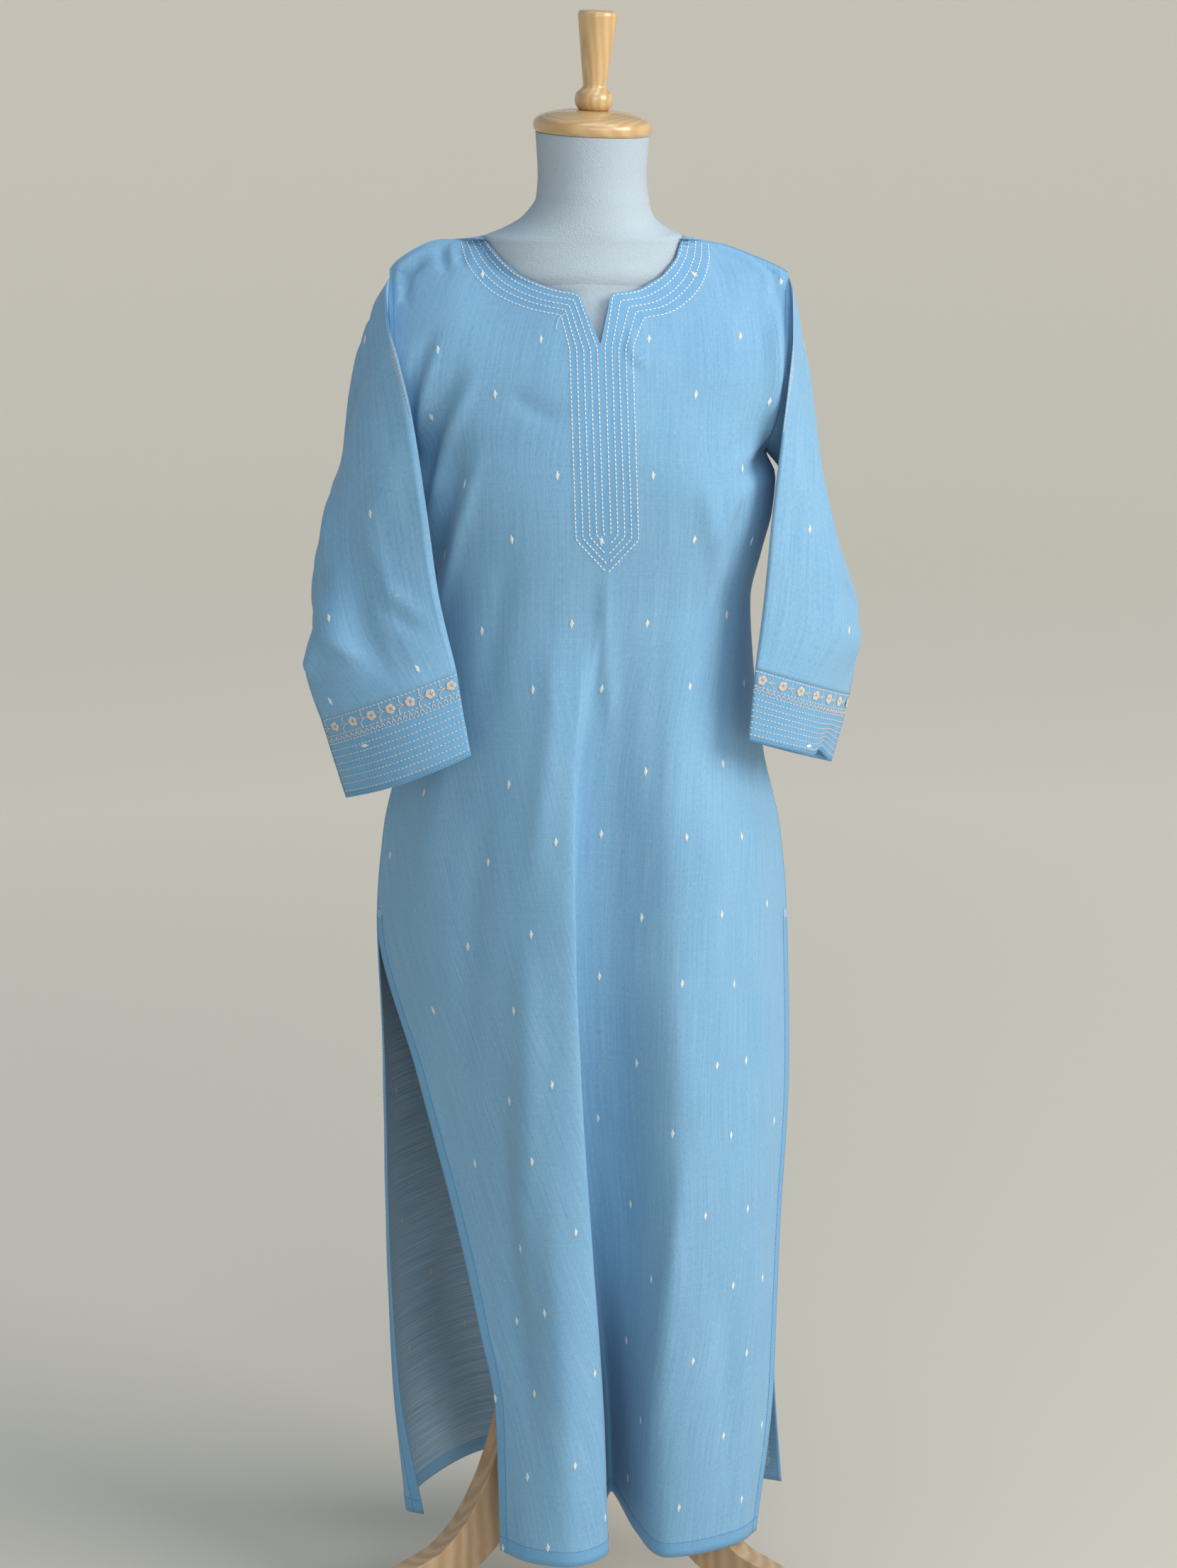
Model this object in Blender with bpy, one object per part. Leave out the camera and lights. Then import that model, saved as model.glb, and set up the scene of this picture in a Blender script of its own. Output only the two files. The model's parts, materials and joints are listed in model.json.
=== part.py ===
"""A straight kurta on a limbless dress form with a wooden tripod stand.

Metres, +Z up, front towards -Y. Left and right are as seen from the front.
The form's axis is X = 0, Y = FORM_Y, which puts the middle of the footprint at the origin.
"""

import math

import bpy
import numpy as np

# Cloth
CLOTH = 0.0015
SEAM = 0.0004
SLEEVE_GAP = 0.0010
FORM_GAP = 0.0023
FORM_DROP = 0.0060
HEM_Z = 0.104
SLIT_TOP = 0.735
UNDERARM = 1.195
SHOULDER_POINT = 1.362
NECK_POINT = 1.3975

# Form and stand
FORM_Y = -0.071
NECK_TOP = 1.494
NECK_X = 0.0035
LEAN = math.radians(2.7)
FORM_BOTTOM = 0.655
POLE_R = 0.014
HUB_APOTHEM = 0.030
HUB_BOTTOM = 0.335
HUB_TOP = 0.420
LEG_THICK = 0.025
LEG_AZIMUTHS = {"leg_front_left": 210, "leg_front_right": 330, "leg_back": 90}
FIT = 0.0003

# Body of the kurta at each height: its side lines, and its depth in front and behind
BODY = {
    "z": (0.730, 0.820, 0.900, 1.000, 1.050, 1.130, 1.165, 1.195, 1.227, 1.273, 1.315, 1.345,
          1.362, 1.371, 1.380, 1.388, 1.394, 1.3975),
    "left": (-0.2085, -0.2010, -0.1820, -0.1620, -0.1570, -0.1750, -0.1810, -0.1740, -0.1770, -0.1840,
             -0.1870, -0.1885, -0.1890, -0.1830, -0.1690, -0.1490, -0.1260, -0.0990),
    "right": (0.1955, 0.1880, 0.1705, 0.1590, 0.1565, 0.1750, 0.1800, 0.1700, 0.1770, 0.1850,
              0.1885, 0.1905, 0.1910, 0.1730, 0.1520, 0.1300, 0.1070, 0.0880),
    "front": (0.1300, 0.1300, 0.1270, 0.1210, 0.1195, 0.1270, 0.1295, 0.1290, 0.1250, 0.1150, 0.1000,
              0.0850, 0.0750, 0.0640, 0.0530, 0.0430, 0.0330, 0.0200),
    "back": (0.1250, 0.1230, 0.1180, 0.1060, 0.1020, 0.1010, 0.1010, 0.1010, 0.1000, 0.0970, 0.0900,
             0.0820, 0.0740, 0.0680, 0.0610, 0.0540, 0.0470, 0.0430),
}

# Armhole edge: how far it lies in front of the side line, and behind it
ARMHOLE = {
    "z": (1.195, 1.200, 1.210, 1.227, 1.250, 1.280, 1.315, 1.345, 1.362),
    "front": (0.0, 0.022, 0.037, 0.050, 0.058, 0.060, 0.043, 0.020, 0.0),
    "back": (0.0, 0.022, 0.038, 0.051, 0.059, 0.060, 0.046, 0.022, 0.0),
}

# Top of the shoulders, and how deep the cloth lies at each drop below it
SHOULDER = {
    "x": (-0.1890, -0.1830, -0.1690, -0.1490, -0.1260, -0.0990, -0.0800, -0.0600, -0.0300, 0.0,
          0.0300, 0.0600, 0.0750, 0.0880, 0.1070, 0.1300, 0.1520, 0.1730, 0.1910),
    "z": (1.3620, 1.3710, 1.3800, 1.3880, 1.3940, 1.3975, 1.4020, 1.4090, 1.4200, 1.4250,
          1.4200, 1.4070, 1.4020, 1.3975, 1.3940, 1.3880, 1.3800, 1.3710, 1.3620),
}
FALL = {
    "drop": (0.0, 0.010, 0.023, 0.042, 0.063, 0.085, 0.117, 0.175, 0.230),
    "front": (0.0, 0.017, 0.031, 0.050, 0.068, 0.083, 0.100, 0.119, 0.129),
    "back": (0.0, 0.022, 0.040, 0.059, 0.071, 0.079, 0.087, 0.096, 0.101),
}

# Neck of the form: half width, and depth in front and behind
NECK = {
    "z": (1.340, 1.366, 1.380, 1.3975, 1.405, 1.417, 1.436, 1.455, 1.494),
    "half": (0.0960, 0.0950, 0.0950, 0.0945, 0.0780, 0.0605, 0.0525, 0.0515, 0.0535),
    "front": (0.0600, 0.0640, 0.0600, 0.0560, 0.0550, 0.0540, 0.0530, 0.0520, 0.0535),
    "back": (0.0500, 0.0540, 0.0550, 0.0560, 0.0550, 0.0540, 0.0530, 0.0520, 0.0535),
}

# Neckline of the front: a round neck with a notch that ends in a V
NECKLINE = {
    "x": (-0.099, -0.082, -0.063, -0.037, -0.009, 0.011, 0.021, 0.047, 0.069, 0.082, 0.088),
    "z": (1.3975, 1.380, 1.366, 1.357, 1.352, 1.308, 1.352, 1.355, 1.366, 1.380, 1.3975),
}
BACK_NECKLINE = {
    "x": (-0.099, -0.080, -0.040, 0.0, 0.036, 0.072, 0.088),
    "z": (1.3975, 1.391, 1.386, 1.385, 1.386, 1.391, 1.3975),
}

# Front panel below the slits: plan positions of the points that its folds pass through
FRONT_FOLDS = {
    "z": (0.104, 0.250, 0.335, 0.420, 0.580, 0.730),
    "edge_left": ((-0.088, -0.105), (-0.092, -0.100), (-0.108, -0.090), (-0.126, -0.078),
                  (-0.168, -0.045), (-0.2085, 0.0)),
    "flank_left": ((-0.055, -0.138), (-0.060, -0.130), (-0.071, -0.126), (-0.085, -0.118),
                   (-0.120, -0.100), (-0.168, -0.070)),
    "ridge_left": ((-0.012, -0.144), (-0.016, -0.142), (-0.025, -0.140), (-0.035, -0.138),
                   (-0.052, -0.134), (-0.070, -0.122)),
    "turn": ((0.014, -0.118), (0.015, -0.119), (0.013, -0.121), (0.010, -0.122),
             (0.003, -0.128), (-0.004, -0.130)),
    "wall": ((0.022, -0.060), (0.021, -0.068), (0.020, -0.082), (0.018, -0.093),
             (0.011, -0.108), (0.002, -0.122)),
    "valley": ((0.027, 0.009), (0.026, -0.019), (0.025, -0.043), (0.024, -0.062),
               (0.020, -0.092), (0.014, -0.113)),
    "rise": ((0.048, -0.075), (0.045, -0.082), (0.044, -0.090), (0.043, -0.097),
             (0.040, -0.110), (0.038, -0.119)),
    "crest": ((0.103, -0.119), (0.102, -0.124), (0.100, -0.126), (0.098, -0.128),
              (0.092, -0.128), (0.088, -0.123)),
    "flank_right": ((0.147, -0.094), (0.152, -0.098), (0.155, -0.094), (0.158, -0.090),
                    (0.162, -0.082), (0.160, -0.072)),
    "edge_right": ((0.169, -0.057), (0.185, -0.045), (0.188, -0.036), (0.191, -0.028),
                   (0.1985, -0.012), (0.1955, 0.0)),
}
FRONT_STEPS = (6, 5, 5, 3, 3, 4, 4, 4, 5)
FRONT_ANGLES_LOW = (-90, -53, -18, 0.7, 2.4, 5.8, 12.7, 27.9, 55.5, 90)
FRONT_ANGLES_HIGH = (-90, -56, -24, -3.02, 3.02, 6.06, 14.0, 30.0, 57.0, 90)
FRONT_HEM_RISE = (0.0, 0.0, 0.0, 0.001, 0.007, 0.015, 0.004, 0.0, 0.002, 0.0)

# Back panel below the slits
BACK_FOLDS = {
    "z": (0.104, 0.250, 0.420, 0.580, 0.730),
    "edge_left": ((-0.168, -0.017), (-0.193, -0.018), (-0.201, -0.012), (-0.2030, -0.008), (-0.2085, 0.0)),
    "curl_left": ((-0.185, -0.008), (-0.199, -0.003), (-0.2035, 0.004), (-0.2045, 0.010), (-0.2060, 0.020)),
    "side_left": ((-0.178, 0.047), (-0.192, 0.045), (-0.195, 0.045), (-0.193, 0.048), (-0.190, 0.058)),
    "back_left": ((-0.112, 0.149), (-0.118, 0.142), (-0.123, 0.130), (-0.125, 0.118), (-0.120, 0.109)),
    "dip_left": ((-0.055, 0.166), (-0.055, 0.142), (-0.055, 0.129), (-0.058, 0.123), (-0.060, 0.122)),
    "mid": ((0.0, 0.185), (0.0, 0.162), (0.0, 0.142), (0.0, 0.130), (0.0, 0.125)),
    "dip_right": ((0.045, 0.160), (0.048, 0.139), (0.050, 0.127), (0.054, 0.122), (0.055, 0.121)),
    "back_right": ((0.095, 0.148), (0.100, 0.142), (0.104, 0.131), (0.108, 0.120), (0.112, 0.108)),
    "side_right": ((0.156, 0.088), (0.160, 0.088), (0.163, 0.080), (0.166, 0.070), (0.174, 0.060)),
    "edge_right": ((0.2005, 0.066), (0.190, 0.050), (0.187, 0.030), (0.191, 0.014), (0.1955, 0.0)),
}
BACK_STEPS = (2, 3, 4, 3, 3, 3, 3, 4, 4)
BACK_ANGLES = (-90, -80, -62, -34, -16, 2.0, 19, 36, 62, 90)

# Heights at which the body's plan is worked out, and of the panel rows at the side edge
BODY_LEVELS = (0.730, 0.820, 0.900, 0.980, 1.050, 1.100, 1.140, 1.170, 1.195, 1.200, 1.210, 1.227, 1.250,
               1.273, 1.295, 1.315, 1.330, 1.345, 1.354, 1.362, 1.367, 1.371, 1.376, 1.380, 1.384, 1.388,
               1.391, 1.394, 1.3975)
PANEL_ROWS = (0.104, 0.150, 0.210, 0.270, 0.330, 0.390, 0.450, 0.510, 0.570, 0.630, 0.685, 0.735, 0.800,
              0.870, 0.940, 1.000, 1.060, 1.110, 1.155, 1.195, 1.202, 1.213, 1.232, 1.260, 1.290,
              1.318, 1.342, 1.362, 1.367, 1.373, 1.379, 1.384, 1.389, 1.393, 1.396, 1.3975)

# Sleeves from the armhole down: the pressed front crease, the outer face, the underarm seam, the inner face
SLEEVE_LEFT = {
    "crease": ((-0.1905, -0.028, 1.350), (-0.187, -0.056, 1.322), (-0.177, -0.074, 1.288),
               (-0.166, -0.086, 1.244), (-0.152, -0.099, 1.155), (-0.141, -0.108, 1.075), (-0.124, -0.117, 1.001)),
    "outer": ((-0.2120, 0.022, 1.290), (-0.224, 0.006, 1.250), (-0.233, -0.008, 1.210),
              (-0.241, -0.022, 1.165), (-0.248, -0.042, 1.100), (-0.238, -0.084, 1.035), (-0.192, -0.118, 0.975)),
    "seam": ((-0.1870, 0.014, 1.172), (-0.196, 0.034, 1.148), (-0.208, 0.044, 1.120),
             (-0.224, 0.044, 1.090), (-0.252, 0.016, 1.045), (-0.2725, -0.045, 0.998), (-0.255, -0.080, 0.947)),
    "inner": ((-0.1895, -0.060, 1.246), (-0.190, -0.058, 1.214), (-0.190, -0.052, 1.180),
              (-0.191, -0.046, 1.145), (-0.192, -0.048, 1.090), (-0.192, -0.070, 1.035), (-0.184, -0.088, 0.972)),
}
SLEEVE_RIGHT = {
    "crease": ((0.1945, -0.028, 1.348), (0.1965, -0.055, 1.312), (0.191, -0.073, 1.270),
               (0.183, -0.086, 1.220), (0.172, -0.099, 1.145), (0.165, -0.107, 1.070), (0.157, -0.113, 1.003)),
    "outer": ((0.2080, 0.020, 1.288), (0.2150, 0.004, 1.248), (0.221, -0.010, 1.205),
              (0.229, -0.022, 1.160), (0.239, -0.040, 1.095), (0.244, -0.056, 1.030), (0.217, -0.075, 0.978)),
    "seam": ((0.1850, 0.014, 1.172), (0.192, 0.034, 1.148), (0.202, 0.046, 1.122),
             (0.216, 0.050, 1.092), (0.240, 0.036, 1.052), (0.262, 0.006, 1.010), (0.253, -0.014, 0.957)),
    "inner": ((0.1915, -0.060, 1.246), (0.192, -0.058, 1.214), (0.193, -0.050, 1.180),
              (0.195, -0.042, 1.145), (0.200, -0.036, 1.095), (0.206, -0.044, 1.035), (0.195, -0.052, 0.980)),
}
CUFF_LEFT = {
    "crease": ((-0.124, -0.117, 1.001), (-0.118, -0.118, 0.961), (-0.111, -0.119, 0.921)),
    "outer": ((-0.192, -0.118, 0.975), (-0.184, -0.116, 0.934), (-0.174, -0.113, 0.893)),
    "seam": ((-0.255, -0.080, 0.947), (-0.244, -0.075, 0.907), (-0.233, -0.070, 0.868)),
    "inner": ((-0.184, -0.088, 0.972), (-0.177, -0.087, 0.932), (-0.169, -0.085, 0.892)),
}
CUFF_RIGHT = {
    "crease": ((0.157, -0.113, 1.003), (0.154, -0.113, 0.969), (0.151, -0.113, 0.935)),
    "outer": ((0.217, -0.075, 0.978), (0.210, -0.077, 0.944), (0.203, -0.079, 0.910)),
    "seam": ((0.253, -0.014, 0.957), (0.245, -0.017, 0.924), (0.236, -0.020, 0.892)),
    "inner": ((0.195, -0.052, 0.980), (0.189, -0.055, 0.947), (0.183, -0.058, 0.913)),
}
RING_STEPS = 12
SLEEVE_ROWS = 12
CUFF_ROWS = 3

# Form below the arms: half width, and depth in front and behind
FORM = {
    "z": (0.655, 0.675, 0.730, 0.800, 0.900, 1.000, 1.050, 1.130, 1.185),
    "half": (0.148, 0.158, 0.168, 0.171, 0.156, 0.136, 0.132, 0.146, 0.156),
    "front": (0.082, 0.092, 0.100, 0.105, 0.103, 0.097, 0.097, 0.110, 0.118),
    "back": (0.090, 0.100, 0.110, 0.112, 0.104, 0.090, 0.086, 0.090, 0.093),
}
ARM_INSET = 0.012
FORM_SIDE = 19
FORM_RINGS = (0.655, 0.668, 0.700, 0.760, 0.830, 0.900, 0.970, 1.040, 1.100, 1.150, 1.190)
NECK_RINGS = (1.3925, 1.401, 1.407, 1.414, 1.424, 1.440, 1.465, 1.494)

# Turned cap and handle above the neck: radius, height
CAP_PROFILE = ((0.0530, 0.0003), (0.0550, 0.0022), (0.0562, 0.0070), (0.0550, 0.0115), (0.0500, 0.0155),
               (0.0400, 0.0190), (0.0280, 0.0212), (0.0150, 0.0220))
HANDLE_PROFILE = ((0.0140, 0.0223), (0.0170, 0.0262), (0.0181, 0.0320), (0.0168, 0.0375), (0.0130, 0.0412),
                  (0.0110, 0.0440), (0.0120, 0.0540), (0.0183, 0.1060), (0.0186, 0.1105), (0.0175, 0.1132),
                  (0.0140, 0.1142))

# Leg outline: radius from the axis, height
LEG_TOP_EDGE = ((0.0600, 0.4190), (0.0640, 0.3900), (0.0740, 0.3300), (0.0860, 0.2800), (0.0985, 0.2380),
                (0.1085, 0.2080), (0.1170, 0.1830), (0.1290, 0.1560), (0.1480, 0.1250), (0.1630, 0.1095),
                (0.1790, 0.0975), (0.2150, 0.0850), (0.2500, 0.0690), (0.2820, 0.0450), (0.3030, 0.0180),
                (0.3050, 0.0))
LEG_UNDER_EDGE = ((0.2620, 0.0), (0.2480, 0.0200), (0.2150, 0.0420), (0.1800, 0.0550), (0.1480, 0.0670),
                  (0.1220, 0.0830), (0.0990, 0.1080), (0.0830, 0.1420), (0.0700, 0.1820), (0.0590, 0.2300),
                  (0.0480, 0.2800), (0.0360, 0.3300), (0.0303, 0.3450), (0.0303, 0.4190))

COLOURS = {
    "kurta": ((0.245, 0.455, 0.680, 1.0), 0.85),
    "form": ((0.560, 0.600, 0.640, 1.0), 0.90),
    "turned_wood": ((0.680, 0.440, 0.210, 1.0), 0.30),
    "stand_wood": ((0.590, 0.370, 0.200, 1.0), 0.55),
}


def curve(x, xs, ys):
    """Smooth curve through the points that doesn't overshoot them. ys may hold several columns."""
    xs = np.asarray(xs, float)
    ys = np.asarray(ys, float)
    flat = ys.reshape(len(xs), -1)
    steps = np.diff(xs)
    rises = np.diff(flat, axis=0) / steps[:, None]
    slopes = np.zeros_like(flat)
    slopes[0] = rises[0]
    slopes[-1] = rises[-1]
    same_way = rises[1:] * rises[:-1] > 0
    early = (2 * steps[1:] + steps[:-1])[:, None]
    late = (steps[1:] + 2 * steps[:-1])[:, None]
    safe_before = np.where(same_way, rises[:-1], 1.0)
    safe_after = np.where(same_way, rises[1:], 1.0)
    slopes[1:-1] = np.where(same_way, (early + late) / (early / safe_before + late / safe_after), 0.0)
    x = np.clip(np.asarray(x, float), xs[0], xs[-1])
    i = np.clip(np.searchsorted(xs, x, side="right") - 1, 0, len(xs) - 2)
    t = ((x - xs[i]) / steps[i])[..., None]
    width = steps[i][..., None]
    value = (
        (2 * t**3 - 3 * t**2 + 1) * flat[i]
        + (t**3 - 2 * t**2 + t) * width * slopes[i]
        + (3 * t**2 - 2 * t**3) * flat[i + 1]
        + (t**3 - t**2) * width * slopes[i + 1]
    )
    return value.reshape(np.shape(x) + ys.shape[1:])


def through(points, steps):
    """Rounded curve through the points, with the given number of steps from each to the next."""
    points = np.asarray(points, float)
    ends = (2 * points[0] - points[1], 2 * points[-1] - points[-2])
    padded = np.vstack([ends[0], points, ends[1]])
    out = []
    for i, count in enumerate(steps):
        p0, p1, p2, p3 = padded[i : i + 4]
        k1 = np.linalg.norm(p1 - p0) ** 0.5
        k2 = k1 + np.linalg.norm(p2 - p1) ** 0.5
        k3 = k2 + np.linalg.norm(p3 - p2) ** 0.5
        for k in k1 + (k2 - k1) * np.arange(count) / count:
            a1 = (k1 - k) / k1 * p0 + k / k1 * p1
            a2 = (k2 - k) / (k2 - k1) * p1 + (k - k1) / (k2 - k1) * p2
            a3 = (k3 - k) / (k3 - k2) * p2 + (k - k2) / (k3 - k2) * p3
            b1 = (k2 - k) / k2 * a1 + k / k2 * a2
            b2 = (k3 - k) / (k3 - k1) * a2 + (k - k1) / (k3 - k1) * a3
            out.append((k2 - k) / (k2 - k1) * b1 + (k - k1) / (k2 - k1) * b2)
    out.append(points[-1])
    return np.array(out)


def spread(values, steps):
    """The named values with evenly spaced ones between them."""
    named = np.concatenate([[0], np.cumsum(steps)])
    return np.interp(np.arange(named[-1] + 1), named, values)


def neck_depth(x, z, side, grow):
    """How far the form's neck stands out in front or behind."""
    half = curve(z, NECK["z"], NECK["half"]) + grow
    deep = curve(z, NECK["z"], NECK[side]) + grow
    return deep * np.sqrt(np.clip(1 - ((x - NECK_X) / half) ** 2, 0, 1))


def body_depth(x, z, side):
    """Depth of the kurta's outer face from the form's axis, from the slits to the shoulders."""
    left = curve(z, BODY["z"], BODY["left"])
    right = curve(z, BODY["z"], BODY["right"])
    across = np.clip(np.abs(x - (left + right) / 2) / ((right - left) / 2), 0, 1)
    drop = np.clip(curve(x, SHOULDER["x"], SHOULDER["z"]) - z, 0, None)
    fallen = curve(drop, FALL["drop"], FALL[side])
    chest = np.clip((z - UNDERARM) / 0.055, 0, 1)
    centre = curve(z, BODY["z"], BODY[side]) * (1 - chest) + fallen * chest
    edge = curve(z, ARMHOLE["z"], ARMHOLE[side])
    power = np.interp(z, (0.95, 1.19, 1.25, 1.34), (2.4, 4.0, 3.4, 6.0))
    root = np.interp(z, (1.18, 1.27, 1.34), (0.50, 0.70, 0.80))
    rounded = (1 - across**power) ** root
    above = np.clip((z - 1.200) / 0.065, 0, 1)
    above = above * above * (3 - 2 * above)
    depth = edge + np.maximum(centre - edge, 0) * rounded
    depth = above * depth + (1 - above) * ((centre * rounded) ** 4 + edge**4) ** 0.25
    high = np.clip((z - 1.335) / 0.02, 0, 1)
    return np.maximum(depth, high * neck_depth(x, z, side, FORM_GAP))


def body_section(z, side, angles):
    """Plan of a panel at one height, as its columns cross it."""
    left = float(curve(z, BODY["z"], BODY["left"]))
    right = float(curve(z, BODY["z"], BODY["right"]))
    x = (left + right) / 2 + (right - left) / 2 * np.sin(np.radians(angles))
    depth = body_depth(x, np.full_like(x, z), side)
    return np.stack([x, -depth if side == "front" else depth], axis=1)


def panel_plan(folds, steps, side, angles_low, angles_high):
    """Rows of plan points at rising heights. Read between them with curve()."""
    names = [name for name in folds if name != "z"]
    heights = list(folds["z"][:-1])
    rows = [through([folds[name][i] for name in names], steps) for i in range(len(heights))]
    slit_row = through([folds[name][-1] for name in names], steps)
    for z in BODY_LEVELS:
        rise = np.clip((z - SLIT_TOP) / (UNDERARM - SLIT_TOP), 0, 1)
        angles = spread(angles_low, steps) * (1 - rise) + spread(angles_high, steps) * rise
        section = body_section(z, side, angles)
        if z <= 1.05:
            folded = curve(z, (0.730, 0.900, 1.050), (1.0, 0.45, 0.0))
            slit_section = body_section(0.730, side, spread(angles_low, steps))
            section = section + folded * (slit_row - slit_section)
        heights.append(z)
        rows.append(section)
    return np.array(heights), np.array(rows)


def panel_grid(folds, steps, side, angles_low, angles_high, neckline, hem_rise, levels):
    """Outer face of a panel: a row of points for each level, from the hem to the neckline."""
    heights, plan = panel_plan(folds, steps, side, angles_low, angles_high)
    columns = plan.shape[1]
    tops = []
    for i in range(columns):
        low, high = UNDERARM, NECK_POINT
        for _ in range(40):
            middle = (low + high) / 2
            x = float(curve(middle, heights, plan[:, i, 0]))
            if middle < np.interp(x, neckline["x"], neckline["z"], left=9, right=9):
                low = middle
            else:
                high = middle
        tops.append(high)
    bottoms = HEM_Z + spread(hem_rise, steps)
    seam_side = -SEAM / 2 if side == "front" else SEAM / 2
    grid = []
    for level in levels:
        up = (level - HEM_Z) / (NECK_POINT - HEM_Z)
        z = bottoms + up * (np.array(tops) - bottoms)
        xy = np.array([curve(z[i], heights, plan[:, i]) for i in range(columns)])
        grid.append(np.column_stack([xy[:, 0], xy[:, 1] + seam_side, z]))
    return np.array(grid)


def armhole(side_line, outward):
    """Loop along an armhole: from the shoulder point down its back edge, then up its front edge."""
    turn = np.linspace(0, math.pi, RING_STEPS + 1)
    z = UNDERARM + (SHOULDER_POINT - UNDERARM) * (1 + np.cos(turn)) / 2
    x = curve(z, BODY["z"], BODY[side_line]) + outward * SLEEVE_GAP
    back = np.column_stack([x, curve(z, ARMHOLE["z"], ARMHOLE["back"]), z])
    front = np.column_stack([x, -curve(z, ARMHOLE["z"], ARMHOLE["front"]), z])
    return np.vstack([back[:-1], front[::-1][:-1]])


def ring(crease, outer, seam, inner):
    """Flattened ring: two bowed faces that meet at the pressed crease and at the seam."""
    t = (np.arange(RING_STEPS) / RING_STEPS)[:, None]
    crease, outer, seam, inner = (np.array(point) for point in (crease, outer, seam, inner))
    out_pull = 2 * outer - (crease + seam) / 2
    in_pull = 2 * inner - (crease + seam) / 2
    out_face = (1 - t) ** 2 * crease + 2 * t * (1 - t) * out_pull + t**2 * seam
    in_face = (1 - t) ** 2 * seam + 2 * t * (1 - t) * in_pull + t**2 * crease
    return np.vstack([out_face, in_face])


def tube_grid(first, table, rows):
    """Rings of a tube, evenly spaced along it."""
    rings = [] if first is None else [first]
    for crease, outer, seam, inner in zip(table["crease"], table["outer"], table["seam"], table["inner"]):
        rings.append(ring(crease, outer, seam, inner))
    rings = np.array(rings)
    centres = rings.mean(axis=1)
    along = np.concatenate([[0], np.cumsum(np.linalg.norm(np.diff(centres, axis=0), axis=1))])
    return curve(np.linspace(0, along[-1], rows), along, rings)


def normals_of(grid, around):
    """Unit normals of a grid of points, along the columns crossed with the rows."""
    if around:
        across = np.roll(grid, -1, axis=1) - np.roll(grid, 1, axis=1)
    else:
        across = np.gradient(grid, axis=1)
    normals = np.cross(across, np.gradient(grid, axis=0))
    return normals / np.linalg.norm(normals, axis=2, keepdims=True)


def material(name):
    colour, roughness = COLOURS[name]
    made = bpy.data.materials.get(name)
    if made is None:
        made = bpy.data.materials.new(name)
        made.use_nodes = True
        surface = made.node_tree.nodes["Principled BSDF"]
        surface.inputs["Base Color"].default_value = colour
        surface.inputs["Roughness"].default_value = roughness
    return made


def add_mesh(name, points, faces, colour, sharp=40):
    """New object, standing on the form's axis."""
    mesh = bpy.data.meshes.new(name)
    mesh.from_pydata([tuple(point) for point in points], [], faces)
    mesh.materials.append(material(colour))
    mesh.shade_smooth()
    mesh.set_sharp_from_angle(angle=math.radians(sharp))
    obj = bpy.data.objects.new(name, mesh)
    obj.location = (0, FORM_Y, 0)
    bpy.context.scene.collection.objects.link(obj)
    return obj


def add_wall(name, grid, inner_grid, around):
    """Closed cloth wall between a grid of outer points and a grid of inner ones."""
    rows, columns = grid.shape[:2]
    outer = grid.reshape(-1, 3)
    inner = inner_grid.reshape(-1, 3)
    shift = rows * columns
    faces = []
    last = columns if around else columns - 1
    for r in range(rows - 1):
        for c in range(last):
            a, b = r * columns + c, r * columns + (c + 1) % columns
            faces.append((a, b, b + columns, a + columns))
            faces.append((a + shift, a + shift + columns, b + shift + columns, b + shift))
    for c in range(last):
        a, b = c, (c + 1) % columns
        faces.append((a, a + shift, b + shift, b))
        a, b = a + shift - columns, b + shift - columns
        faces.append((a, b, b + shift, a + shift))
    if not around:
        for r in range(rows - 1):
            a, b = r * columns, (r + 1) * columns
            faces.append((a, b, b + shift, a + shift))
            a, b = a + columns - 1, b + columns - 1
            faces.append((a, a + shift, b + shift, b))
    return add_mesh(name, np.vstack([outer, inner]), faces, "kurta")


def add_panel(name, grid, side):
    """A body panel. Its wall stays on its own side of the side and shoulder seams."""
    if side == "back":
        grid = grid[:, ::-1]
    normals = normals_of(grid, False)
    for column in (0, -1):
        z = grid[:, column, 2]
        seamed = (z > SLIT_TOP - 0.001) & ((z < UNDERARM + 0.001) | (z > SHOULDER_POINT - 0.001))
        normals[seamed, column, 1] = 0
    normals /= np.linalg.norm(normals, axis=2, keepdims=True)
    inner = grid - normals * CLOTH
    above = grid[:, :, 2] > SLIT_TOP - 0.001
    own_side = np.minimum if side == "front" else np.maximum
    line = -SEAM / 2 if side == "front" else SEAM / 2
    inner[above, 1] = own_side(inner[above, 1], line)
    return add_wall(name, grid, inner, False)


def add_tube(name, grid, side):
    """A sleeve or a cuff, open at both ends."""
    if side == "right":
        grid = grid[:, ::-1]
    normals = normals_of(grid, True)
    for row in (0, -1):
        ring_points = grid[row]
        arms = ring_points - ring_points.mean(axis=0)
        axis = np.cross(arms, np.roll(arms, -1, axis=0)).sum(axis=0)
        flat = np.cross(np.roll(arms, -1, axis=0) - np.roll(arms, 1, axis=0), axis)
        flat *= np.sign((flat * normals[row]).sum(axis=1, keepdims=True))
        normals[row] = flat / np.linalg.norm(flat, axis=1, keepdims=True)
    return add_wall(name, grid, grid - normals * CLOTH, True)


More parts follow.
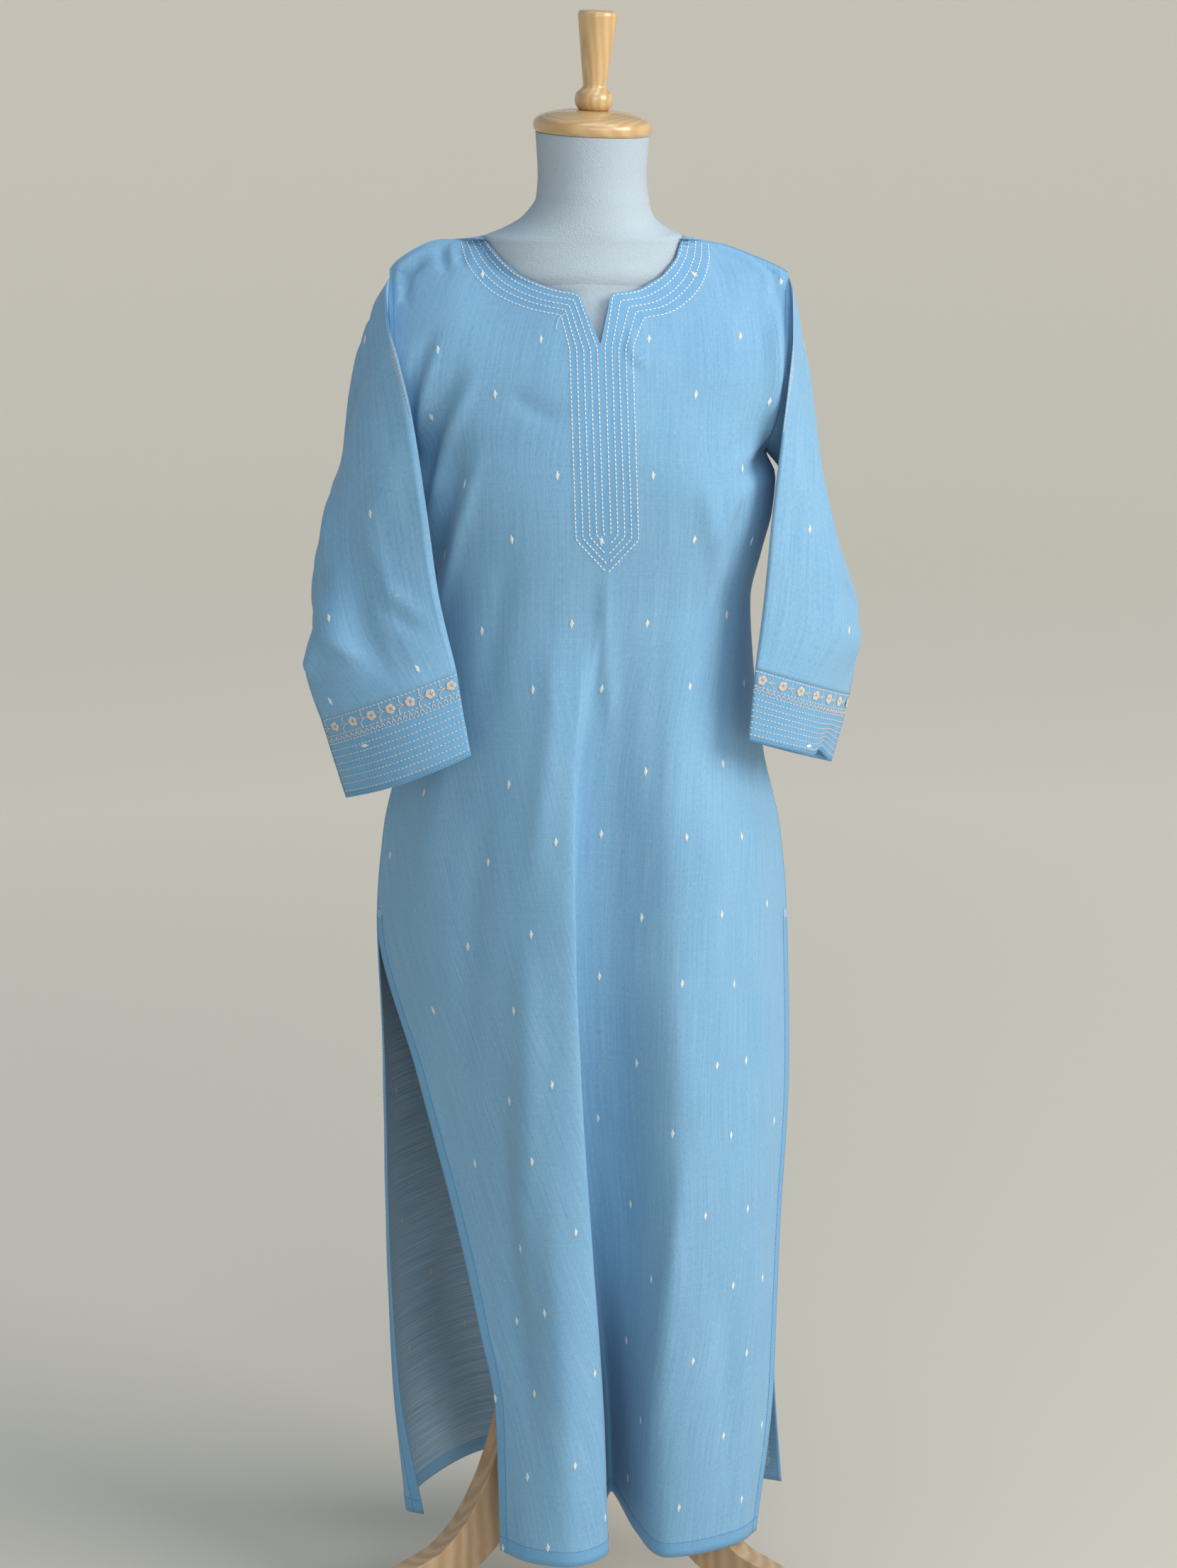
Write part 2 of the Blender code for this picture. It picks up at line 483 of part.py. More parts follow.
def add_turned(name, profile, colour, steps=28):
    """Turned piece on the leaning axis above the neck."""
    points = [(0, 0, profile[0][1])]
    for radius, height in profile:
        for k in range(steps):
            angle = 2 * math.pi * k / steps
            points.append((radius * math.cos(angle), radius * math.sin(angle), height))
    points.append((0, 0, profile[-1][1]))
    faces = [(0, 1 + (k + 1) % steps, 1 + k) for k in range(steps)]
    for row in range(len(profile) - 1):
        for k in range(steps):
            a, b = 1 + row * steps + k, 1 + row * steps + (k + 1) % steps
            faces.append((a, b, b + steps, a + steps))
    top = 1 + (len(profile) - 1) * steps
    faces += [(len(points) - 1, top + k, top + (k + 1) % steps) for k in range(steps)]
    obj = add_mesh(name, points, faces, colour, 50)
    obj.location = (NECK_X, FORM_Y, NECK_TOP)
    obj.rotation_euler = (0, LEAN, 0)
    return obj


def add_prism(name, outline, low, high, colour):
    """Upright prism on the form's axis."""
    count = len(outline)
    points = [(x, y, low) for x, y in outline] + [(x, y, high) for x, y in outline]
    faces = [tuple(reversed(range(count))), tuple(range(count, 2 * count))]
    faces += [(k, (k + 1) % count, count + (k + 1) % count, count + k) for k in range(count)]
    return add_mesh(name, points, faces, colour)


def add_leg(name, azimuth):
    """Leg sawn from a board, standing in the vertical plane at its azimuth."""
    outline = LEG_TOP_EDGE + LEG_UNDER_EDGE
    count = len(outline)
    points = [(r, -LEG_THICK / 2, z) for r, z in outline] + [(r, LEG_THICK / 2, z) for r, z in outline]
    faces = [tuple(reversed(range(count))), tuple(range(count, 2 * count))]
    faces += [(k, (k + 1) % count, count + (k + 1) % count, count + k) for k in range(count)]
    obj = add_mesh(name, points, faces, "stand_wood")
    obj.rotation_euler = (0, 0, math.radians(azimuth))
    return obj


def depth_within(x, z, lifted, side):
    """Depth of the form where the cloth lies on it, a gap inside the cloth whichever way that faces."""
    around = [body_depth(x + dx, np.full_like(x, level), side) for dx in (-0.004, 0.0, 0.004) for level in (z, lifted)]
    return np.maximum(np.min(around, axis=0) - FORM_GAP, 0.0015)


def form_ring(z):
    """Plan of the form at one height, round from its left side along the front."""
    turn = np.radians(np.linspace(-90, 90, FORM_SIDE))
    if z <= 1.19:
        half = float(curve(z, FORM["z"], FORM["half"]))
        front = float(curve(z, FORM["z"], FORM["front"])) * np.cos(turn) ** 0.9
        back = float(curve(z, FORM["z"], FORM["back"])) * np.cos(turn) ** 0.9
        x = half * np.sin(turn)
    else:
        lifted = z + FORM_DROP
        inset = np.interp(z, (1.19, 1.24, 1.34, 1.364, 1.39), (0.021, 0.019, ARM_INSET, 0.007, FORM_GAP))
        left = float(curve(lifted, BODY["z"], BODY["left"])) + inset
        right = float(curve(lifted, BODY["z"], BODY["right"])) - inset
        x = (left + right) / 2 + (right - left) / 2 * np.sin(turn)
        front, back = (depth_within(x, z, lifted, side) for side in ("front", "back"))
    front_side = np.column_stack([x, -front, np.full_like(x, z)])
    back_side = np.column_stack([x, back, np.full_like(x, z)])
    return np.vstack([front_side, back_side[::-1]])


def neck_ring(z):
    """Plan of the form's neck. The top one leans with the cap."""
    turn = np.radians(np.linspace(-90, 90, FORM_SIDE))
    under_cloth = np.interp(z, (1.3925, 1.4050), (0.0040, 0.0))
    half = float(curve(z, NECK["z"], NECK["half"])) - under_cloth
    x = NECK_X + half * np.sin(turn)
    front = (float(curve(z, NECK["z"], NECK["front"])) - under_cloth) * np.cos(turn)
    back = (float(curve(z, NECK["z"], NECK["back"])) - under_cloth) * np.cos(turn)
    lean = np.clip((z - 1.44) / (NECK_TOP - 1.44), 0, 1) * math.tan(LEAN)
    height = z - lean * (x - NECK_X)
    front_side = np.column_stack([x, -np.maximum(front, 0.0015), height])
    back_side = np.column_stack([x, np.maximum(back, 0.0015), height])
    return np.vstack([front_side, back_side[::-1]])


def add_form():
    """The limbless form, from its flat bottom to the top of its neck."""
    upper = [level - FORM_DROP for level in PANEL_ROWS if level > 1.225]
    rings = [form_ring(z) for z in FORM_RINGS] + [form_ring(z) for z in upper[:-1]]
    rings += [neck_ring(z) for z in NECK_RINGS]
    for plan in rings:
        for side in (0, FORM_SIDE - 1):
            plan[side, 1] = min(plan[side, 1], -0.0015)
            plan[2 * FORM_SIDE - 1 - side, 1] = max(plan[2 * FORM_SIDE - 1 - side, 1], 0.0015)
    count = len(rings[0])
    faces = [tuple(reversed(range(count)))]
    for r in range(len(rings) - 1):
        for k in range(count):
            a, b = r * count + k, r * count + (k + 1) % count
            faces.append((a, b, b + count, a + count))
    faces.append(tuple(range((len(rings) - 1) * count, len(rings) * count)))
    return add_mesh("dress_form", np.vstack(rings), faces, "form", 60)


def build():
    for old in list(bpy.data.objects):
        bpy.data.objects.remove(old, do_unlink=True)
    front = panel_grid(
        FRONT_FOLDS, FRONT_STEPS, "front", FRONT_ANGLES_LOW, FRONT_ANGLES_HIGH, NECKLINE, FRONT_HEM_RISE, PANEL_ROWS
    )
    add_panel("front_panel", front, "front")
    no_rise = np.zeros(len(BACK_STEPS) + 1)
    back = panel_grid(
        BACK_FOLDS, BACK_STEPS, "back", BACK_ANGLES, BACK_ANGLES, BACK_NECKLINE, no_rise, PANEL_ROWS
    )
    add_panel("back_panel", back, "back")
    add_tube("sleeve_left", tube_grid(armhole("left", -1), SLEEVE_LEFT, SLEEVE_ROWS), "left")
    add_tube("sleeve_right", tube_grid(armhole("right", 1), SLEEVE_RIGHT, SLEEVE_ROWS), "right")
    add_tube("cuff_left", tube_grid(None, CUFF_LEFT, CUFF_ROWS) - (0, 0, SEAM), "left")
    add_tube("cuff_right", tube_grid(None, CUFF_RIGHT, CUFF_ROWS) - (0, 0, SEAM), "right")
    add_form()
    add_turned("neck_cap", CAP_PROFILE, "turned_wood")
    add_turned("handle", HANDLE_PROFILE, "turned_wood")
    circle = [(POLE_R * math.cos(2 * math.pi * k / 20), POLE_R * math.sin(2 * math.pi * k / 20)) for k in range(20)]
    add_prism("pole", circle, HUB_TOP + FIT, FORM_BOTTOM - FIT, "stand_wood")
    reach = HUB_APOTHEM / math.cos(math.pi / 6)
    hexagon = [(reach * math.cos(k * math.pi / 3), reach * math.sin(k * math.pi / 3)) for k in range(6)]
    add_prism("stand_hub", hexagon, HUB_BOTTOM, HUB_TOP, "stand_wood")
    for name, azimuth in LEG_AZIMUTHS.items():
        add_leg(name, azimuth)


build()
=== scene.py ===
"""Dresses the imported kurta, dress form and stand for the render.

Metres, +Z up, front towards -Y. Left and right are as seen from the front.
"""

import json
import math

import bpy
import numpy as np
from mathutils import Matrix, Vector

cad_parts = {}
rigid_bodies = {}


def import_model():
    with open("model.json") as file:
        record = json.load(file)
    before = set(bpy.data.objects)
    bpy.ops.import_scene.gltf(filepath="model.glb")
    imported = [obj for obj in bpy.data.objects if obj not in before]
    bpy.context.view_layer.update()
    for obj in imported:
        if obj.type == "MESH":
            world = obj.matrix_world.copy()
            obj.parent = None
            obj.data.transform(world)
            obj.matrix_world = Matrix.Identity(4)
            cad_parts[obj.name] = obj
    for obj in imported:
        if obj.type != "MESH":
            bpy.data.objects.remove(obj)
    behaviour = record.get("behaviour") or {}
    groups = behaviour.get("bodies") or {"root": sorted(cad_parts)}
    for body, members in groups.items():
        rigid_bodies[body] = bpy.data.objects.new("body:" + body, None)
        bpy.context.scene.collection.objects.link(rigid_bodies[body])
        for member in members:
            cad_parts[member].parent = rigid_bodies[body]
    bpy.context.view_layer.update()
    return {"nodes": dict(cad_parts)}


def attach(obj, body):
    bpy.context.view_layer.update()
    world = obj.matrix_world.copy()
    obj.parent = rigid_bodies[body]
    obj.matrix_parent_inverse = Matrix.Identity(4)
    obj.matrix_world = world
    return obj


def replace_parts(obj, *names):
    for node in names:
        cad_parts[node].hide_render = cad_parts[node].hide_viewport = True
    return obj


# Camera of the photograph
CAMERA_PLACE = (0.0, -3.871, 1.7846)
CAMERA_TILT = 76.39
CAMERA_LENS = 91.82

# Cloth: its thickness, which flattened tubes limit to a share of the room between their faces
CLOTH = 0.0007
THINNEST_CLOTH = 0.00005
TUBE_CLOTH_SHARE = 0.35
TUBE_CREASE_SHARE = 0.4
TUBE_GAP = 0.0015
SLEEVE_GAP = -0.0015
FORM_GAP = 0.0023
FORM_DROP = 0.013
HEM_Z = 0.104
SLIT_TOP = 0.735
UNDERARM = 1.195
SHOULDER_POINT = 1.362
NECK_POINT = 1.3975

# Form and stand
FORM_Y = -0.071
NECK_TOP = 1.494
NECK_X = 0.0035
LEAN = math.radians(2.7)
LEAN_FOOT = 1.44
NECK_UNDER_CLOTH = ((1.3925, 1.4050), (0.0012, 0.0))
LEG_THICK = 0.025
LEG_AZIMUTHS = {"leg_front_left": 210, "leg_front_right": 330, "leg_back": 90}

# Colours
CHAMBRAY_DEEP = (0.088, 0.262, 0.462, 1.0)
CHAMBRAY_PALE = (0.31, 0.53, 0.71, 1.0)
CHAMBRAY_DOUBLE = (0.12, 0.34, 0.59, 1.0)
CHAMBRAY_BACK_DEEP = (0.22, 0.37, 0.52, 1.0)
CHAMBRAY_BACK_PALE = (0.41, 0.56, 0.69, 1.0)
IVORY = (0.9, 0.87, 0.8, 1.0)
WHITE = (0.86, 0.86, 0.82, 1.0)
BEIGE = (0.7, 0.6, 0.525, 1.0)
STITCH_BLUE = (0.12, 0.27, 0.5, 1.0)
TACK_BLUE = (0.42, 0.61, 0.78, 1.0)
COVER = (0.455, 0.53, 0.585, 1.0)
VARNISHED = (0.64, 0.43, 0.2, 1.0)
VARNISHED_DARK = (0.54, 0.33, 0.14, 1.0)
BOARD = (0.54, 0.37, 0.225, 1.0)
BOARD_DARK = (0.42, 0.265, 0.145, 1.0)
BACKDROP = (0.63, 0.572, 0.482, 1.0)
WALL_GLOW = 0.44
SURROUNDINGS = (0.48, 0.74, 1.0, 1.0)
SURROUNDINGS_GLOW = 0.32

# Soft lights: place, aim, size, power, tint
LIGHTS = {
    "key": ((4.0, -2.1, 3.0), (0, 0, 0.9), (2.8, 2.4), 180, (1.0, 0.97, 0.93)),
    "fill": ((1.0, -5.0, 2.6), (0, 0, 0.8), (3.4, 2.4), 62, (0.84, 0.93, 1.0)),
    "top": ((0.7, -0.9, 4.2), (0, 0, 0.6), (2.2, 2.2), 38, (0.95, 0.97, 1.0)),
}

# Weave: share of the pale colour, and noise that adds to it. Stretch, detail, start of its ramp, weight
WEAVE_BASE = 0.14
WEAVE = {
    "warp": ((1700, 190, 0), 1.0, 0.25, 0.26),
    "weft": ((260, 1700, 0), 1.0, 0.25, 0.20),
    "streaks": ((560, 12, 0), 2.0, 0.3, 0.22),
    "slubs": ((12, 620, 0), 2.0, 0.3, 0.06),
    "clouds": ((14, 7, 0), 2.0, 0.3, 0.08),
}

# Body of the kurta at each height: its side lines, and its depth in front and behind
BODY = {
    "z": (0.73, 0.82, 0.9, 1.0, 1.05, 1.13, 1.165, 1.195, 1.227, 1.273, 1.315, 1.345,
          1.362, 1.371, 1.38, 1.388, 1.394, 1.3975),
    "left": (-0.2085, -0.201, -0.182, -0.162, -0.157, -0.175, -0.181, -0.174, -0.177, -0.184,
             -0.187, -0.1885, -0.189, -0.183, -0.169, -0.149, -0.126, -0.099),
    "right": (0.1955, 0.188, 0.1705, 0.159, 0.1565, 0.175, 0.18, 0.17, 0.177, 0.185,
              0.1885, 0.1905, 0.191, 0.173, 0.152, 0.13, 0.107, 0.088),
    "front": (0.13, 0.13, 0.127, 0.121, 0.1195, 0.127, 0.1295, 0.129, 0.125, 0.115, 0.1,
              0.085, 0.075, 0.064, 0.053, 0.043, 0.033, 0.02),
    "back": (0.125, 0.123, 0.118, 0.106, 0.102, 0.101, 0.101, 0.101, 0.1, 0.097, 0.09,
             0.082, 0.074, 0.068, 0.061, 0.054, 0.047, 0.043),
}

# Roundness of the body's plan at each height: its power and root, and how much rounder its left front is
PLAN_POWER = ((0.95, 1.19, 1.25, 1.34), (2.4, 4.0, 3.4, 6.0))
PLAN_ROOT = ((1.18, 1.27, 1.34), (0.50, 0.70, 0.80))
LEFT_ROUNDER = ((0.95, 1.08, 1.28, 1.34), (0.0, 0.36, 0.36, 0.0))

# Armhole edge: how far it lies in front of the side line, and behind it
ARMHOLE = {
    "z": (1.195, 1.2, 1.21, 1.227, 1.25, 1.28, 1.315, 1.345, 1.362),
    "front": (0.0, 0.022, 0.037, 0.05, 0.058, 0.06, 0.043, 0.02, 0.0),
    "back": (0.0, 0.022, 0.038, 0.051, 0.059, 0.06, 0.046, 0.022, 0.0),
}

# Top of the shoulders: the side lines above the shoulder point, and a bridge across the neck between them
SHOULDER_START = BODY["z"].index(SHOULDER_POINT)
SHOULDER = {
    "x": BODY["left"][SHOULDER_START:]
    + (-0.08, -0.06, -0.03, 0.0, 0.03, 0.06, 0.075)
    + BODY["right"][: SHOULDER_START - 1 : -1],
    "z": BODY["z"][SHOULDER_START:]
    + (1.402, 1.409, 1.42, 1.425, 1.42, 1.407, 1.402)
    + BODY["z"][: SHOULDER_START - 1 : -1],
}

# How deep the cloth lies at each drop below the top of the shoulders
FALL = {
    "drop": (0.0, 0.01, 0.023, 0.042, 0.063, 0.085, 0.117, 0.175, 0.23),
    "front": (0.0, 0.017, 0.031, 0.05, 0.068, 0.083, 0.1, 0.119, 0.129),
    "back": (0.0, 0.022, 0.04, 0.059, 0.071, 0.079, 0.087, 0.096, 0.101),
}

# Neck of the form: half width, and depth in front and behind
NECK = {
    "z": (1.34, 1.366, 1.38, 1.3975, 1.405, 1.417, 1.436, 1.455, 1.494),
    "half": (0.096, 0.095, 0.095, 0.0945, 0.079, 0.062, 0.053, 0.0515, 0.0535),
    "front": (0.06, 0.064, 0.06, 0.056, 0.055, 0.054, 0.053, 0.052, 0.0535),
    "back": (0.05, 0.054, 0.055, 0.056, 0.055, 0.054, 0.053, 0.052, 0.0535),
}

# Neckline of the front: a round neck with a notch that ends in a V
NECKLINE = {
    "x": (-0.099, -0.082, -0.063, -0.037, -0.009, 0.011, 0.021, 0.047, 0.069, 0.082, 0.088),
    "z": (1.3975, 1.38, 1.366, 1.357, 1.352, 1.308, 1.352, 1.355, 1.366, 1.38, 1.3975),
}
BACK_NECKLINE = {
    "x": (-0.099, -0.08, -0.04, 0.0, 0.036, 0.072, 0.088),
    "z": (1.3975, 1.391, 1.386, 1.385, 1.386, 1.391, 1.3975),
}

# Front panel below the slits: plan positions of the points that its folds pass through
FRONT_FOLDS = {
    "z": (0.104, 0.25, 0.335, 0.42, 0.58, 0.73),
    "edge_left": ((-0.088, -0.105), (-0.092, -0.1), (-0.108, -0.09), (-0.126, -0.078),
                  (-0.168, -0.045), (-0.2085, 0.0)),
    "flank_left": ((-0.058, -0.134), (-0.062, -0.122), (-0.072, -0.112), (-0.085, -0.105),
                   (-0.116, -0.09), (-0.16, -0.066)),
    "ridge_left": ((-0.014, -0.144), (-0.02, -0.142), (-0.026, -0.141), (-0.033, -0.141),
                   (-0.042, -0.139), (-0.052, -0.136)),
    "turn": ((0.018, -0.118), (0.014, -0.119), (0.009, -0.126), (0.004, -0.131),
             (-0.006, -0.138), (-0.012, -0.142)),
    "wall": ((0.014, -0.06), (0.008, -0.068), (0.004, -0.085), (-0.004, -0.104),
             (-0.016, -0.116), (-0.02, -0.126)),
    "valley": ((0.024, 0.009), (0.018, -0.015), (0.01, -0.045), (0.003, -0.068),
               (-0.012, -0.09), (-0.018, -0.109)),
    "rise": ((0.048, -0.07), (0.042, -0.07), (0.038, -0.076), (0.035, -0.083),
             (0.026, -0.094), (0.018, -0.106)),
    "crest": ((0.074, -0.121), (0.079, -0.127), (0.083, -0.131), (0.086, -0.134),
              (0.089, -0.135), (0.088, -0.126)),
    "flank_right": ((0.147, -0.094), (0.152, -0.098), (0.155, -0.094), (0.158, -0.09),
                    (0.162, -0.082), (0.16, -0.072)),
    "edge_right": ((0.169, -0.057), (0.185, -0.045), (0.188, -0.036), (0.191, -0.028),
                   (0.1985, -0.012), (0.1955, 0.0)),
}
FINER = 4
FRONT_STEPS = (6, 5, 5, 3, 3, 4, 4, 4, 5)
FRONT_ANGLES_LOW = (-90, -53, -18, 0.7, 2.4, 5.8, 12.7, 27.9, 55.5, 90)
FRONT_ANGLES_HIGH = (-90, -56, -24, -3.02, 3.02, 6.06, 14.0, 30.0, 57.0, 90)
FRONT_HEM_RISE = (0.0, 0.0, 0.0, 0.001, 0.007, 0.015, 0.004, 0.0, 0.002, 0.0)

# Height up to which the folds go on above the slits, and how they fade there
FOLDS_FOOT = 0.730
FOLDS_END = 1.05
FOLDS_FADE = ((FOLDS_FOOT, 0.880, FOLDS_END), (1.0, 0.75, 0.0))

# Back panel below the slits
BACK_FOLDS = {
    "z": (0.104, 0.25, 0.42, 0.58, 0.73),
    "edge_left": ((-0.168, -0.017), (-0.193, -0.018), (-0.201, -0.012), (-0.203, -0.008), (-0.2085, 0.0)),
    "curl_left": ((-0.185, -0.008), (-0.199, -0.003), (-0.2035, 0.004), (-0.2045, 0.01), (-0.206, 0.02)),
    "side_left": ((-0.178, 0.047), (-0.192, 0.045), (-0.195, 0.045), (-0.193, 0.048), (-0.19, 0.058)),
    "back_left": ((-0.112, 0.149), (-0.118, 0.142), (-0.123, 0.13), (-0.125, 0.118), (-0.12, 0.109)),
    "dip_left": ((-0.055, 0.166), (-0.055, 0.142), (-0.055, 0.129), (-0.058, 0.123), (-0.06, 0.122)),
    "mid": ((0.0, 0.185), (0.0, 0.162), (0.0, 0.142), (0.0, 0.13), (0.0, 0.125)),
    "dip_right": ((0.045, 0.16), (0.048, 0.139), (0.05, 0.127), (0.054, 0.122), (0.055, 0.121)),
    "back_right": ((0.095, 0.148), (0.1, 0.142), (0.104, 0.131), (0.108, 0.12), (0.112, 0.108)),
    "side_right": ((0.156, 0.088), (0.16, 0.088), (0.163, 0.08), (0.166, 0.07), (0.174, 0.06)),
    "edge_right": ((0.2005, 0.066), (0.19, 0.05), (0.187, 0.03), (0.191, 0.014), (0.1955, 0.0)),
}
BACK_STEPS = (2, 3, 4, 3, 3, 3, 3, 4, 4)
BACK_ANGLES = (-90, -80, -62, -34, -16, 2.0, 19, 36, 62, 90)

# Heights at which the body's plan is worked out, and of the panel rows at the side edge
BODY_LEVELS = (0.73, 0.82, 0.9, 0.98, 1.05, 1.1, 1.14, 1.17, 1.195, 1.2, 1.21, 1.227, 1.25,
               1.273, 1.295, 1.315, 1.33, 1.345, 1.354, 1.362, 1.367, 1.371, 1.376, 1.38, 1.384, 1.388,
               1.391, 1.394, 1.3975)
PANEL_ROWS = (0.104, 0.15, 0.21, 0.27, 0.33, 0.39, 0.45, 0.51, 0.57, 0.63, 0.685, 0.735, 0.8,
              0.87, 0.94, 1.0, 1.06, 1.11, 1.155, 1.195, 1.202, 1.213, 1.232, 1.26, 1.29,
              1.318, 1.342, 1.362, 1.367, 1.373, 1.379, 1.384, 1.389, 1.393, 1.396, 1.3975)
SHOULDER_ROWS = 9
ROW_STEP = 0.0065
SHOULDER_ROW_STEP = 0.0018

# Sleeves from the armhole down: the pressed front crease, the outer face, the underarm seam, the inner face
SLEEVE_LEFT = {
    "crease": (
        (-0.1905, -0.028, 1.35), (-0.187, -0.056, 1.322), (-0.177, -0.074, 1.288), (-0.166, -0.086, 1.244),
        (-0.152, -0.099, 1.155), (-0.141, -0.108, 1.075), (-0.124, -0.117, 1.001),
    ),
    "outer": (
        (-0.212, 0.022, 1.29), (-0.224, 0.006, 1.25), (-0.233, -0.008, 1.21), (-0.241, -0.022, 1.165),
        (-0.248, -0.042, 1.1), (-0.238, -0.084, 1.035), (-0.192, -0.118, 0.975),
    ),
    "seam": (
        (-0.187, 0.014, 1.172), (-0.196, 0.034, 1.148), (-0.208, 0.044, 1.12), (-0.224, 0.044, 1.09),
        (-0.252, 0.016, 1.045), (-0.2725, -0.045, 0.998), (-0.255, -0.08, 0.947),
    ),
    "inner": (
        (-0.1895, -0.052, 1.246), (-0.19, -0.048, 1.214), (-0.19, -0.044, 1.18), (-0.191, -0.046, 1.145),
        (-0.192, -0.048, 1.09), (-0.192, -0.07, 1.035), (-0.184, -0.088, 0.972),
    ),
}
SLEEVE_RIGHT = {
    "crease": (
        (0.1925, -0.028, 1.348), (0.192, -0.056, 1.312), (0.1875, -0.073, 1.27), (0.181, -0.086, 1.22),
        (0.172, -0.099, 1.145), (0.165, -0.107, 1.07), (0.157, -0.113, 1.003),
    ),
    "outer": (
        (0.201, 0.02, 1.288), (0.209, 0.004, 1.248), (0.217, -0.01, 1.205), (0.228, -0.022, 1.16),
        (0.239, -0.04, 1.095), (0.244, -0.056, 1.03), (0.217, -0.075, 0.978),
    ),
    "seam": (
        (0.185, 0.014, 1.172), (0.192, 0.034, 1.148), (0.202, 0.046, 1.122), (0.216, 0.05, 1.092),
        (0.24, 0.036, 1.052), (0.262, 0.006, 1.01), (0.253, -0.014, 0.957),
    ),
    "inner": (
        (0.1915, -0.053, 1.246), (0.192, -0.049, 1.214), (0.193, -0.044, 1.18), (0.195, -0.042, 1.145),
        (0.2, -0.036, 1.095), (0.206, -0.044, 1.035), (0.195, -0.052, 0.98),
    ),
}
SLEEVES = {"left": SLEEVE_LEFT, "right": SLEEVE_RIGHT}

# Cuffs, which start at the sleeves' last points
CUFFS = {
    "left": {
        "crease": ((-0.118, -0.118, 0.961), (-0.111, -0.119, 0.921)),
        "outer": ((-0.184, -0.116, 0.934), (-0.174, -0.113, 0.893)),
        "seam": ((-0.244, -0.075, 0.907), (-0.233, -0.07, 0.868)),
        "inner": ((-0.177, -0.087, 0.932), (-0.169, -0.085, 0.892)),
    },
    "right": {
        "crease": ((0.154, -0.113, 0.969), (0.151, -0.113, 0.935)),
        "outer": ((0.21, -0.077, 0.944), (0.203, -0.079, 0.91)),
        "seam": ((0.245, -0.017, 0.924), (0.236, -0.02, 0.892)),
        "inner": ((0.189, -0.055, 0.947), (0.183, -0.058, 0.913)),
    },
}
RING_STEPS = 36
SLEEVE_RINGS = 80
CUFF_RINGS = 28

# Dent of the right cuff: its part of the girth, width, depth and rise. The cuff's front edge is lifted.
CUFF_DENT = (0.40, 0.013, 0.0040, 0.0075)
CUFF_LIFT = 0.0045

# Embroidery of the neckline: its inner and outer edge on each side, from the shoulder seam to the notch
NECK_EDGES = {
    "left": {
        "inner": ((-0.099, 1.3975), (-0.082, 1.38), (-0.063, 1.366), (-0.037, 1.357), (-0.009, 1.352)),
        "outer": ((-0.121, 1.3925), (-0.113, 1.373), (-0.093, 1.353), (-0.063, 1.34), (-0.026, 1.333)),
    },
    "right": {
        "inner": ((0.088, 1.3975), (0.082, 1.38), (0.069, 1.366), (0.047, 1.355), (0.021, 1.352)),
        "outer": ((0.1135, 1.3905), (0.114, 1.378), (0.105, 1.355), (0.08, 1.335), (0.052, 1.33)),
    },
}
NECK_BAND = 0.0285
NECK_ROWS = (0.0015, 0.008, 0.015, 0.021, 0.028)
NOTCH_FOOT = 1.304
PLACKET_X = ((1.08, 0.0175), (1.13, 0.0175), (1.304, 0.0116))
PLACKET_HALF = (0.0035, 0.0099, 0.0163, 0.0227, 0.0291)
PLACKET_TIP = (1.131, 1.1225, 1.114, 1.1055, 1.097)
PLACKET_POINT = 1.1

# Cloth swallowed by the fold beside the middle, at each height
SWALLOWED = ((0.1, 0.15), (0.3, 0.14), (0.45, 0.12), (0.6, 0.085), (0.75, 0.045), (0.9, 0.02),
             (1.03, 0.005), (1.2, 0.0))

